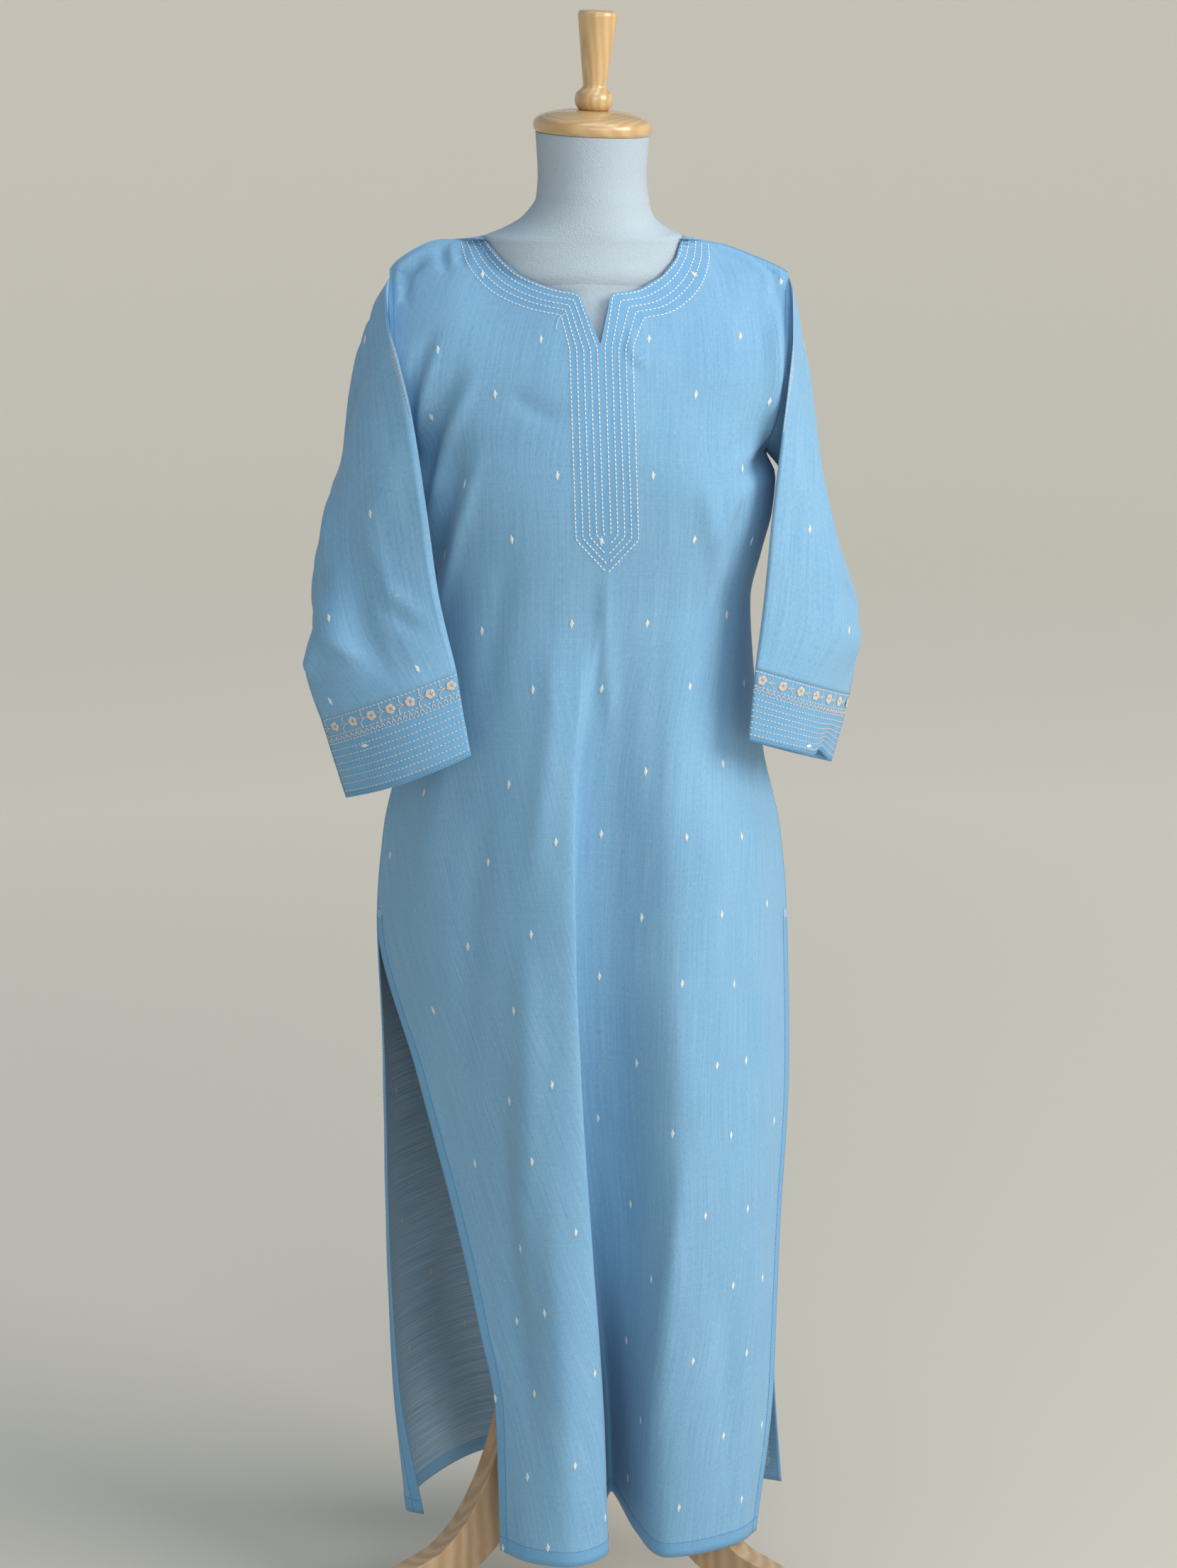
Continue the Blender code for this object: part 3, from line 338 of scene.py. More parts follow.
# Creases: where each starts and ends, its bow, its half width and its rise. On the panels the places
# are x and z, on the sleeves the lengths round from the pressed crease and down from the armhole.
SHOULDER_CREASES = (
    (-0.202, 1.346, -0.112, 1.402, -0.008, 0.0065, 0.0055),
    (0.102, 1.3985, 0.2, 1.356, -0.007, 0.006, 0.0038),
)
FRONT_CREASES = (
    (-0.14, 1.325, -0.166, 1.17, 0.014, 0.007, -0.006),
    (-0.134, 1.315, -0.16, 1.185, 0.01, 0.0055, 0.0032),
    (-0.112, 1.3, -0.17, 1.09, 0.013, 0.01, -0.0085),
    (-0.098, 1.29, -0.16, 1.1, 0.011, 0.006, 0.0044),
    (-0.116, 1.235, -0.192, 0.965, 0.000, 0.014, -0.015),
    (-0.1, 1.218, -0.167, 0.95, 0.000, 0.0055, 0.0055),
    (-0.076, 1.264, -0.016, 1.238, 0.004, 0.008, -0.0024),
    (-0.07, 1.13, -0.1, 0.94, 0.004, 0.012, -0.0028),
    (0.03, 1.308, 0.062, 1.288, 0.002, 0.0035, 0.0032),
    (0.034, 1.298, 0.06, 1.276, 0.002, 0.0035, -0.002),
    (0.186, 1.245, 0.116, 1.18, -0.005, 0.008, 0.0052),
    (0.18, 1.222, 0.13, 1.16, -0.003, 0.006, -0.004),
    (0.108, 1.19, 0.134, 1.06, 0.003, 0.01, 0.004),
    (0.172, 1.205, 0.114, 1.1, 0.008, 0.006, 0.0036),
    (0.15, 1.18, 0.128, 1.02, 0.004, 0.007, -0.0032),
    (0.018, 1.11, 0.024, 0.92, 0.004, 0.008, 0.0028),
    (0.064, 1.08, 0.058, 0.82, -0.004, 0.013, -0.0024),
    (-0.03, 1.06, -0.062, 0.76, -0.006, 0.012, 0.0032),
    (-0.12, 0.98, -0.16, 0.74, 0.006, 0.014, 0.004),
    (-0.095, 0.9, -0.12, 0.56, 0.008, 0.013, -0.0036),
    (-0.062, 0.78, -0.068, 0.33, -0.006, 0.013, 0.0048),
    (-0.09, 0.64, -0.05, 0.18, 0.004, 0.011, -0.0036),
    (0.104, 0.93, 0.128, 0.56, -0.006, 0.015, 0.0036),
    (0.15, 0.86, 0.16, 0.47, 0.004, 0.013, -0.0032),
    (0.098, 0.56, 0.062, 0.1, 0.006, 0.01, 0.006),
    (0.13, 0.42, 0.142, 0.12, -0.003, 0.012, -0.0036),
    (0.016, 0.996, 0.135, 0.988, 0.002, 0.0012, 0.0008),
    (0.11, 1.3955, 0.196, 1.325, -0.0105, 0.0036, 0.004),
    (0.114, 1.3985, 0.202, 1.33, -0.0115, 0.0044, -0.0056),
    (0.174, 1.345, 0.172, 1.2, -0.006, 0.011, 0.008),
    (0.125, 1.37, 0.184, 1.318, -0.006, 0.008, 0.0024),
    (-0.199, 1.332, -0.145, 1.383, -0.005, 0.0042, -0.0075),
    (-0.139, 1.394, -0.134, 1.362, 0.001, 0.005, -0.0028),
    (-0.121, 1.396, -0.117, 1.368, 0.001, 0.0045, -0.0024),
    (-0.13, 1.396, -0.126, 1.372, 0.001, 0.004, 0.0024),
)
BACK_CREASES = (
    (-0.165, 1.31, -0.07, 1.19, 0.008, 0.01, 0.0039),
    (0.16, 1.3, 0.08, 1.18, -0.008, 0.01, 0.0039),
    (-0.15, 1.2, -0.1, 1.04, 0.006, 0.011, -0.0033),
    (0.152, 1.19, 0.096, 1.03, -0.006, 0.011, -0.0033),
    (-0.06, 1.08, -0.085, 0.8, 0.006, 0.015, 0.0039),
    (0.05, 1.06, 0.078, 0.76, -0.006, 0.015, 0.0036),
    (-0.004, 1.02, 0.006, 0.62, 0.005, 0.016, -0.0033),
    (-0.14, 0.92, -0.152, 0.48, -0.006, 0.015, 0.0042),
    (0.136, 0.9, 0.148, 0.45, 0.006, 0.015, 0.0042),
    (-0.03, 0.64, -0.046, 0.13, 0.006, 0.016, 0.0039),
    (0.072, 0.6, 0.06, 0.12, -0.006, 0.015, -0.0036),
    (-0.12, 1.392, -0.08, 1.35, 0.002, 0.006, 0.0026),
    (0.11, 1.39, 0.07, 1.345, -0.002, 0.006, 0.0026),
    (-0.17, 1.378, -0.12, 1.33, 0.003, 0.006, -0.0026),
    (0.166, 1.374, 0.116, 1.325, -0.003, 0.006, -0.0026),
)
SLEEVE_CREASES = {
    "left": (
        (0.04, 0.235, 0.056, 0.42, 0.003, 0.013, -0.0075),
        (0.031, 0.262, 0.027, 0.345, -0.002, 0.0032, 0.003),
        (0.033, 0.3, 0.01, 0.356, -0.004, 0.0034, 0.0032),
        (0.038, 0.318, 0.016, 0.362, -0.003, 0.003, -0.003),
        (0.035, 0.356, 0.038, 0.41, 0.001, 0.0018, -0.0018),
        (0.108, 0.12, 0.07, 0.27, -0.004, 0.009, 0.006),
        (0.14, 0.19, 0.06, 0.262, 0.008, 0.006, 0.004),
        (0.138, 0.262, 0.09, 0.33, 0.005, 0.0055, 0.0044),
        (0.15, 0.318, 0.128, 0.384, -0.003, 0.006, 0.005),
        (0.096, 0.3, 0.052, 0.384, 0.006, 0.007, 0.004),
        (0.016, 0.05, 0.086, 0.15, 0.006, 0.009, 0.0039),
        (0.022, 0.085, 0.096, 0.2, 0.008, 0.008, -0.0036),
        (0.012, 0.16, 0.06, 0.33, -0.006, 0.011, 0.0036),
        (0.14, 0.17, 0.07, 0.24, 0.006, 0.009, 0.0039),
        (0.146, 0.215, 0.086, 0.29, 0.006, 0.008, -0.0036),
        (0.112, 0.25, 0.062, 0.37, -0.004, 0.01, 0.0039),
        (0.142, 0.3, 0.104, 0.38, 0.004, 0.008, 0.0033),
        (0.04, 0.01, 0.03, 0.09, 0.003, 0.006, -0.003),
        (0.24, 0.06, 0.19, 0.18, 0.006, 0.01, 0.0036),
        (0.26, 0.18, 0.2, 0.3, -0.006, 0.011, -0.0036),
    ),
    "right": (
        (0.12, 0.21, 0.05, 0.28, 0.008, 0.006, 0.0044),
        (0.13, 0.29, 0.096, 0.372, 0.005, 0.0055, 0.0046),
        (0.018, 0.06, 0.07, 0.17, 0.006, 0.009, 0.0036),
        (0.014, 0.12, 0.066, 0.26, -0.006, 0.009, -0.0033),
        (0.136, 0.16, 0.076, 0.25, 0.006, 0.01, 0.0039),
        (0.14, 0.23, 0.096, 0.33, 0.004, 0.008, -0.0033),
        (0.052, 0.24, 0.07, 0.36, -0.004, 0.011, 0.0036),
        (0.118, 0.28, 0.11, 0.37, 0.003, 0.008, 0.003),
        (0.044, 0.012, 0.036, 0.09, 0.003, 0.006, -0.003),
        (0.236, 0.06, 0.19, 0.18, 0.006, 0.01, 0.0036),
        (0.25, 0.19, 0.196, 0.3, -0.006, 0.011, -0.0036),
    ),
}

# Ripples: height, size across, seed of the random draws
FRONT_RIPPLES = (0.0007, 0.070, 3)
BACK_RIPPLES = (0.0008, 0.075, 5)
SLEEVE_RIPPLES = (0.0010, 0.060, 7)
CUFF_RIPPLES = (0.0006, 0.035, 9)

# Hems, and how near its edges a panel's creases fade
HEM_DEEP = 0.0145
SLIT_HEM = 0.0105
SEAM_FADE = 0.016
SHOULDER_FADE = 0.012

# Stitches: pitch, length, width and height. They lie a little above the cloth.
THREAD = (0.0042, 0.0034, 0.0012, 0.0005)
TOPSTITCH = (0.0031, 0.0024, 0.0007, 0.0003)
STITCH_LIFT = 0.0001
BAR_TACK = 0.01
BAR_TACK_ROWS = 6
BAR_TACK_PITCH = 0.0013
BAR_TACK_STRAND = (0.0013, 0.0006)
ARMHOLE_STITCH_INSET = 0.0045

# Strands of the other threads: width and height
MOTIF_STRAND = (0.001, 0.0004)
PETAL_STRAND = (0.0013, 0.0008)
TENDRIL_STRAND = (0.001, 0.0005)
HERRINGBONE_STRAND = (0.0009, 0.0005)
LOOSE_STRAND = (0.0005, 0.0004)

# Woven motifs of the front: heights of each row, and where each column runs at the heights of "z"
MOTIF_HEIGHTS = {
    0: (1.366, 1.262, 1.128, 0.985, 0.842, 0.699, 0.55, 0.394, 0.237),
    1: (1.312, 1.19, 1.048, 0.905, 0.762, 0.614, 0.464, 0.314, 0.158),
}
MOTIF_COLUMNS = {
    "z": (0.12, 0.35, 0.6, 0.85, 1.05, 1.2, 1.37),
    -7: (-0.085, -0.096, None, None, None, None, None),
    -6: (-0.055, -0.072, -0.135, -0.21, None, None, None),
    -5: (-0.04, -0.06, -0.078, -0.157, None, None, None),
    -4: (0.005, -0.042, -0.058, -0.103, -0.14, -0.15, None),
    -3: (0.018, 0.003, -0.035, -0.068, -0.104, -0.12, -0.155),
    -2: (None, None, None, -0.031, -0.063, -0.08, -0.1),
    -1: (None, None, None, None, -0.016, -0.03, -0.052),
    0: (None, None, 0.009, 0.012, 0.012, 0.012, None),
    1: (0.04, 0.037, 0.046, 0.053, 0.055, 0.06, 0.054),
    2: (0.048, 0.056, 0.087, 0.093, 0.097, 0.1, 0.099),
    3: (0.086, 0.105, 0.123, 0.127, 0.132, 0.143, 0.141),
    4: (0.128, 0.143, 0.137, 0.148, 0.15, 0.16, 0.184),
    5: (0.152, 0.157, 0.154, 0.185, None, None, None),
    6: (0.175, 0.17, 0.187, None, None, None, None),
}
MOTIF_SAG = {-7: 0.05, -6: 0.045, -5: 0.035, -4: 0.027, -3: 0.012, 4: 0.01, 5: 0.005, 6: 0.015}
MOTIF_BARS = (0.001, 0.002, 0.003, 0.004, 0.005, 0.004, 0.003, 0.002, 0.001)
MOTIF_PITCH = 0.00098
MOTIF_SLANT = 0.14
MOTIF_REPEAT = (0.046, 0.141)
MOTIF_MARGIN = 0.012
BARE_TOP_ROWS = 16
FIRST_BACK_ROW = 0.08
LAST_BACK_ROW = 1.32
FIRST_SLEEVE_ROW = 0.0675
SLEEVE_MARGINS = (0.02, 0.008)

# Embroidery of the cuff: lengths down from its seam
CUFF_DEEP = 0.076
CUFF_ROWS = (0.0015, 0.017, 0.024, 0.0304, 0.0368, 0.0432, 0.0496, 0.056, 0.0626, 0.0696)
CUFF_HERRINGBONE = (0.018, 0.023)
HERRINGBONE_PITCH = 0.0028
CUFF_TOPSTITCH = (0.0722, 0.0745)
FLOWER_ROW = 0.0092
FLOWER_R = 0.0057
FLOWER_PITCH = 0.0203

# Woven motif on each cuff: its part of the girth, and how far down
CUFF_MOTIFS = (("left", 0.36, 0.036), ("right", 0.28, 0.06))

# Strands of a petal: how far beside its middle line, and their ends, in flower radii
PETAL = ((-0.27, 0.3, 0.84), (-0.09, 0.03, 1.0), (0.09, 0.03, 1.0), (0.27, 0.3, 0.84))

# Tendrils beside a flower: steps round the cuff and down it
TENDRILS = (
    ((0.0052, 0.0004), (0.0066, 0.0006), (0.0082, 0.0004)),
    ((0.007, 0.0002), (0.0092, -0.0016), (0.0102, -0.0038), (0.0098, -0.0068)),
    ((0.0074, 0.0006), (0.01, 0.002), (0.0116, 0.0042), (0.0108, 0.0074)),
    ((0.0088, 0.0002), (0.011, -0.0006), (0.013, -0.001)),
)

# End of thread left near the notch: x, z
LOOSE_THREAD = ((-0.0215, 1.3345), (-0.024, 1.333), (-0.0275, 1.33), (-0.0292, 1.3255), (-0.03, 1.3205))

# Form below the arms: half width, and depth in front and behind
FORM = {
    "z": (0.655, 0.675, 0.73, 0.8, 0.9, 1.0, 1.05, 1.13, 1.185),
    "half": (0.148, 0.158, 0.168, 0.171, 0.156, 0.136, 0.132, 0.146, 0.156),
    "front": (0.082, 0.092, 0.1, 0.105, 0.103, 0.097, 0.097, 0.11, 0.118),
    "back": (0.09, 0.1, 0.11, 0.112, 0.104, 0.09, 0.086, 0.09, 0.093),
}
ARM_INSET = 0.012
FORM_CHEST = 1.19
FORM_INSET = ((FORM_CHEST, 1.24, 1.34, 1.364, 1.39), (0.021, 0.019, ARM_INSET, 0.007, FORM_GAP))
FORM_SIDE = 61
FORM_RINGS = (0.655, 0.668, 0.7, 0.76, 0.83, 0.9, 0.97, 1.04, 1.1, 1.15, FORM_CHEST)
NECK_RINGS = (1.335, 1.3925, 1.417, 1.44, 1.494)

# Turned cap and handle above the neck: radius, height
CAP_PROFILE = ((0.053, 0.0003), (0.055, 0.0022), (0.0562, 0.007), (0.055, 0.0115), (0.05, 0.0155),
               (0.04, 0.019), (0.028, 0.0212), (0.015, 0.022))
HANDLE_PROFILE = ((0.014, 0.0223), (0.017, 0.0262), (0.0181, 0.032), (0.0168, 0.0375), (0.013, 0.0412),
                  (0.011, 0.044), (0.012, 0.054), (0.0183, 0.106), (0.0186, 0.1105), (0.0175, 0.1132),
                  (0.014, 0.1142))

# Leg outline: radius from the axis, height
LEG_TOP_EDGE = ((0.06, 0.419), (0.064, 0.39), (0.074, 0.33), (0.086, 0.28), (0.0985, 0.238),
                (0.1085, 0.208), (0.117, 0.183), (0.129, 0.156), (0.148, 0.125), (0.163, 0.1095),
                (0.179, 0.0975), (0.215, 0.085), (0.25, 0.069), (0.282, 0.045), (0.303, 0.018),
                (0.305, 0.0))
LEG_UNDER_EDGE = ((0.262, 0.0), (0.248, 0.02), (0.215, 0.042), (0.18, 0.055), (0.148, 0.067),
                  (0.122, 0.083), (0.099, 0.108), (0.083, 0.142), (0.07, 0.182), (0.059, 0.23),
                  (0.048, 0.28), (0.036, 0.33), (0.0303, 0.345), (0.0303, 0.419))


def curve(x, xs, ys):
    """Smooth curve through the points that doesn't overshoot them. ys may hold several columns."""
    xs = np.asarray(xs, float)
    ys = np.asarray(ys, float)
    flat = ys.reshape(len(xs), -1)
    steps = np.diff(xs)
    rises = np.diff(flat, axis=0) / steps[:, None]
    slopes = np.zeros_like(flat)
    slopes[0] = rises[0]
    slopes[-1] = rises[-1]
    same_way = rises[1:] * rises[:-1] > 0
    early = (2 * steps[1:] + steps[:-1])[:, None]
    late = (steps[1:] + 2 * steps[:-1])[:, None]
    safe_before = np.where(same_way, rises[:-1], 1.0)
    safe_after = np.where(same_way, rises[1:], 1.0)
    slopes[1:-1] = np.where(same_way, (early + late) / (early / safe_before + late / safe_after), 0.0)
    x = np.clip(np.asarray(x, float), xs[0], xs[-1])
    i = np.clip(np.searchsorted(xs, x, side="right") - 1, 0, len(xs) - 2)
    t = ((x - xs[i]) / steps[i])[..., None]
    width = steps[i][..., None]
    value = (
        (2 * t**3 - 3 * t**2 + 1) * flat[i]
        + (t**3 - 2 * t**2 + t) * width * slopes[i]
        + (3 * t**2 - 2 * t**3) * flat[i + 1]
        + (t**3 - t**2) * width * slopes[i + 1]
    )
    return value.reshape(np.shape(x) + ys.shape[1:])


def through(points, steps):
    """Rounded curve through the points, with the given number of steps from each to the next."""
    points = np.asarray(points, float)
    ends = (2 * points[0] - points[1], 2 * points[-1] - points[-2])
    padded = np.vstack([ends[0], points, ends[1]])
    out = []
    for i, count in enumerate(steps):
        p0, p1, p2, p3 = padded[i : i + 4]
        k1 = np.linalg.norm(p1 - p0) ** 0.5
        k2 = k1 + np.linalg.norm(p2 - p1) ** 0.5
        k3 = k2 + np.linalg.norm(p3 - p2) ** 0.5
        for k in k1 + (k2 - k1) * np.arange(count) / count:
            a1 = (k1 - k) / k1 * p0 + k / k1 * p1
            a2 = (k2 - k) / (k2 - k1) * p1 + (k - k1) / (k2 - k1) * p2
            a3 = (k3 - k) / (k3 - k2) * p2 + (k - k2) / (k3 - k2) * p3
            b1 = (k2 - k) / k2 * a1 + k / k2 * a2
            b2 = (k3 - k) / (k3 - k1) * a2 + (k - k1) / (k3 - k1) * a3
            out.append((k2 - k) / (k2 - k1) * b1 + (k - k1) / (k2 - k1) * b2)
    out.append(points[-1])
    return np.array(out)


def spread(values, steps):
    """The named values with evenly spaced ones between them."""
    named = np.concatenate([[0], np.cumsum(steps)])
    return np.interp(np.arange(named[-1] + 1), named, values)


def neck_middle(z):
    """The neck rises from a foot that lies a little to the left."""
    return np.interp(z, (1.3975, 1.4320), (-0.0050, NECK_X))


def neck_depth(x, z, side, grow):
    """How far the form's neck stands out in front or behind."""
    half = curve(z, NECK["z"], NECK["half"]) + grow
    deep = curve(z, NECK["z"], NECK[side]) + grow
    return deep * np.sqrt(np.clip(1 - ((x - neck_middle(z)) / half) ** 2, 0, 1))


def body_depth(x, z, side):
    """Depth of the kurta's outer face from the form's axis, from the slits to the shoulders."""
    left = curve(z, BODY["z"], BODY["left"])
    right = curve(z, BODY["z"], BODY["right"])
    across = np.clip(np.abs(x - (left + right) / 2) / ((right - left) / 2), 0, 1)
    drop = np.clip(curve(x, SHOULDER["x"], SHOULDER["z"]) - z, 0, None)
    fallen = curve(drop, FALL["drop"], FALL[side])
    chest = np.clip((z - UNDERARM) / 0.055, 0, 1)
    centre = curve(z, BODY["z"], BODY[side]) * (1 - chest) + fallen * chest
    edge = curve(z, ARMHOLE["z"], ARMHOLE[side])
    power = np.interp(z, *PLAN_POWER)
    if side == "front":
        power = power * (1 - np.interp(z, *LEFT_ROUNDER) * (x < (left + right) / 2))
    rounded = (1 - across**power) ** np.interp(z, *PLAN_ROOT)
    above = smooth_step((z - 1.200) / 0.065)
    depth = edge + np.maximum(centre - edge, 0) * rounded
    depth = above * depth + (1 - above) * ((centre * rounded) ** 4 + edge**4) ** 0.25
    high = np.clip((z - 1.335) / 0.02, 0, 1)
    return np.maximum(depth, high * neck_depth(x, z, side, FORM_GAP))


def body_section(z, side, angles):
    """Plan of a panel at one height, as its columns cross it."""
    left = float(curve(z, BODY["z"], BODY["left"]))
    right = float(curve(z, BODY["z"], BODY["right"]))
    x = (left + right) / 2 + (right - left) / 2 * np.sin(np.radians(angles))
    depth = body_depth(x, np.full_like(x, z), side)
    return np.stack([x, -depth if side == "front" else depth], axis=1)


def panel_plan(folds, steps, side, angles_low, angles_high):
    """Rows of plan points at rising heights. Read between them with curve()."""
    names = [name for name in folds if name != "z"]
    heights = list(folds["z"][:-1])
    rows = [through([folds[name][i] for name in names], steps) for i in range(len(heights))]
    slit_row = through([folds[name][-1] for name in names], steps)
    for z in BODY_LEVELS:
        rise = np.clip((z - SLIT_TOP) / (UNDERARM - SLIT_TOP), 0, 1)
        angles = spread(angles_low, steps) * (1 - rise) + spread(angles_high, steps) * rise
        section = body_section(z, side, angles)
        if z <= FOLDS_END:
            slit_section = body_section(FOLDS_FOOT, side, spread(angles_low, steps))
            section = section + curve(z, *FOLDS_FADE) * (slit_row - slit_section)
        heights.append(z)
        rows.append(section)
    return np.array(heights), np.array(rows)


def panel_grid(folds, steps, side, angles_low, angles_high, neckline, hem_rise, levels):
    """Outer face of a panel: a row of points for each level, from the hem to the neckline."""
    heights, plan = panel_plan(folds, steps, side, angles_low, angles_high)
    columns = plan.shape[1]
    tops = []
    for i in range(columns):
        low, high = UNDERARM, NECK_POINT
        for _ in range(40):
            middle = (low + high) / 2
            x = float(curve(middle, heights, plan[:, i, 0]))
            if middle < np.interp(x, neckline["x"], neckline["z"], left=math.inf, right=math.inf):
                low = middle
            else:
                high = middle
        tops.append(high)
    bottoms = HEM_Z + spread(hem_rise, steps)
    up = (np.array(levels) - HEM_Z) / (NECK_POINT - HEM_Z)
    z = bottoms + up[:, None] * (np.array(tops) - bottoms)
    xy = np.stack([curve(z[:, i], heights, plan[:, i]) for i in range(columns)], axis=1)
    return np.dstack([xy, z])


def lengths_along(points):
    """Length from the first point to each one."""
    return np.concatenate([[0], np.cumsum(np.linalg.norm(np.diff(points, axis=0), axis=1))])


def armhole(side_line, outward):
    """Loop along an armhole: from the shoulder point down its back edge, then up its front edge."""
    turn = np.linspace(0, math.pi, RING_STEPS + 1)
    z = UNDERARM + (SHOULDER_POINT - UNDERARM) * (1 + np.cos(turn)) / 2
    x = curve(z, BODY["z"], BODY[side_line]) + outward * SLEEVE_GAP
    back = np.column_stack([x, curve(z, ARMHOLE["z"], ARMHOLE["back"]), z])
    front = np.column_stack([x, -curve(z, ARMHOLE["z"], ARMHOLE["front"]), z])
    return np.vstack([back[:-1], front[::-1][:-1]])


def ring(crease, outer, seam, inner):
    """Flattened ring: two bowed faces that meet at the pressed crease and at the seam."""
    t = (np.arange(RING_STEPS) / RING_STEPS)[:, None]
    crease, outer, seam, inner = (np.array(point) for point in (crease, outer, seam, inner))
    out_pull = 2 * outer - (crease + seam) / 2
    in_pull = 2 * inner - (crease + seam) / 2
    out_face = (1 - t) ** 2 * crease + 2 * t * (1 - t) * out_pull + t**2 * seam
    in_face = (1 - t) ** 2 * seam + 2 * t * (1 - t) * in_pull + t**2 * crease
    return np.vstack([out_face, in_face])


def tube_grid(first, table, rows):
    """Rings of a tube, evenly spaced along it."""
    rings = [] if first is None else [first]
    for crease, outer, seam, inner in zip(table["crease"], table["outer"], table["seam"], table["inner"]):
        rings.append(ring(crease, outer, seam, inner))
    rings = np.array(rings)
    along = lengths_along(rings.mean(axis=1))
    return curve(np.linspace(0, along[-1], rows), along, rings)


def normals_of(grid, around):
    """Unit normals of a grid of points, along the columns crossed with the rows."""
    if around:
        across = np.roll(grid, -1, axis=1) - np.roll(grid, 1, axis=1)
    else:
        across = np.gradient(grid, axis=1)
    normals = np.cross(across, np.gradient(grid, axis=0))
    return normals / np.linalg.norm(normals, axis=2, keepdims=True)


def smooth_step(x):
    """Eases from 0 to 1."""
    x = np.clip(x, 0, 1)
    return x * x * (3 - 2 * x)


def finer(rows, step):
    """The named rows with evenly spaced ones between them, about a step apart."""
    counts = [max(1, round((high - low) / step)) for low, high in zip(rows, rows[1:])]
    return spread(rows, counts)


def creased(a, b, creases):
    """Height that soft ridges and troughs give to the places (a, b)."""
    height = np.zeros_like(a)
    for a0, b0, a1, b1, bow, width, rise in creases:
        length = math.hypot(a1 - a0, b1 - b0)
        along = ((a - a0) * (a1 - a0) + (b - b0) * (b1 - b0)) / length**2
        off = ((a - a0) * (b1 - b0) - (b - b0) * (a1 - a0)) / length - bow * 4 * along * (1 - along)
        ends = smooth_step(along / 0.3) * smooth_step((1 - along) / 0.4)
        height += rise * ends * np.exp(-((off / width) ** 2))
    return height


def ripples(a, b, kind):
    """Uneven gentle waves at the places (a, b)."""
    rise, size, seed = kind
    height = np.zeros_like(a)
    rng = np.random.default_rng(seed)
    for _ in range(7):
        turn, phase = rng.uniform(0, 2 * math.pi, 2)
        wave = 2 * math.pi / (size * rng.uniform(0.7, 1.8))
        height += np.sin(wave * (a * math.cos(turn) + b * math.sin(turn)) + phase)
    return rise * (height / 7)


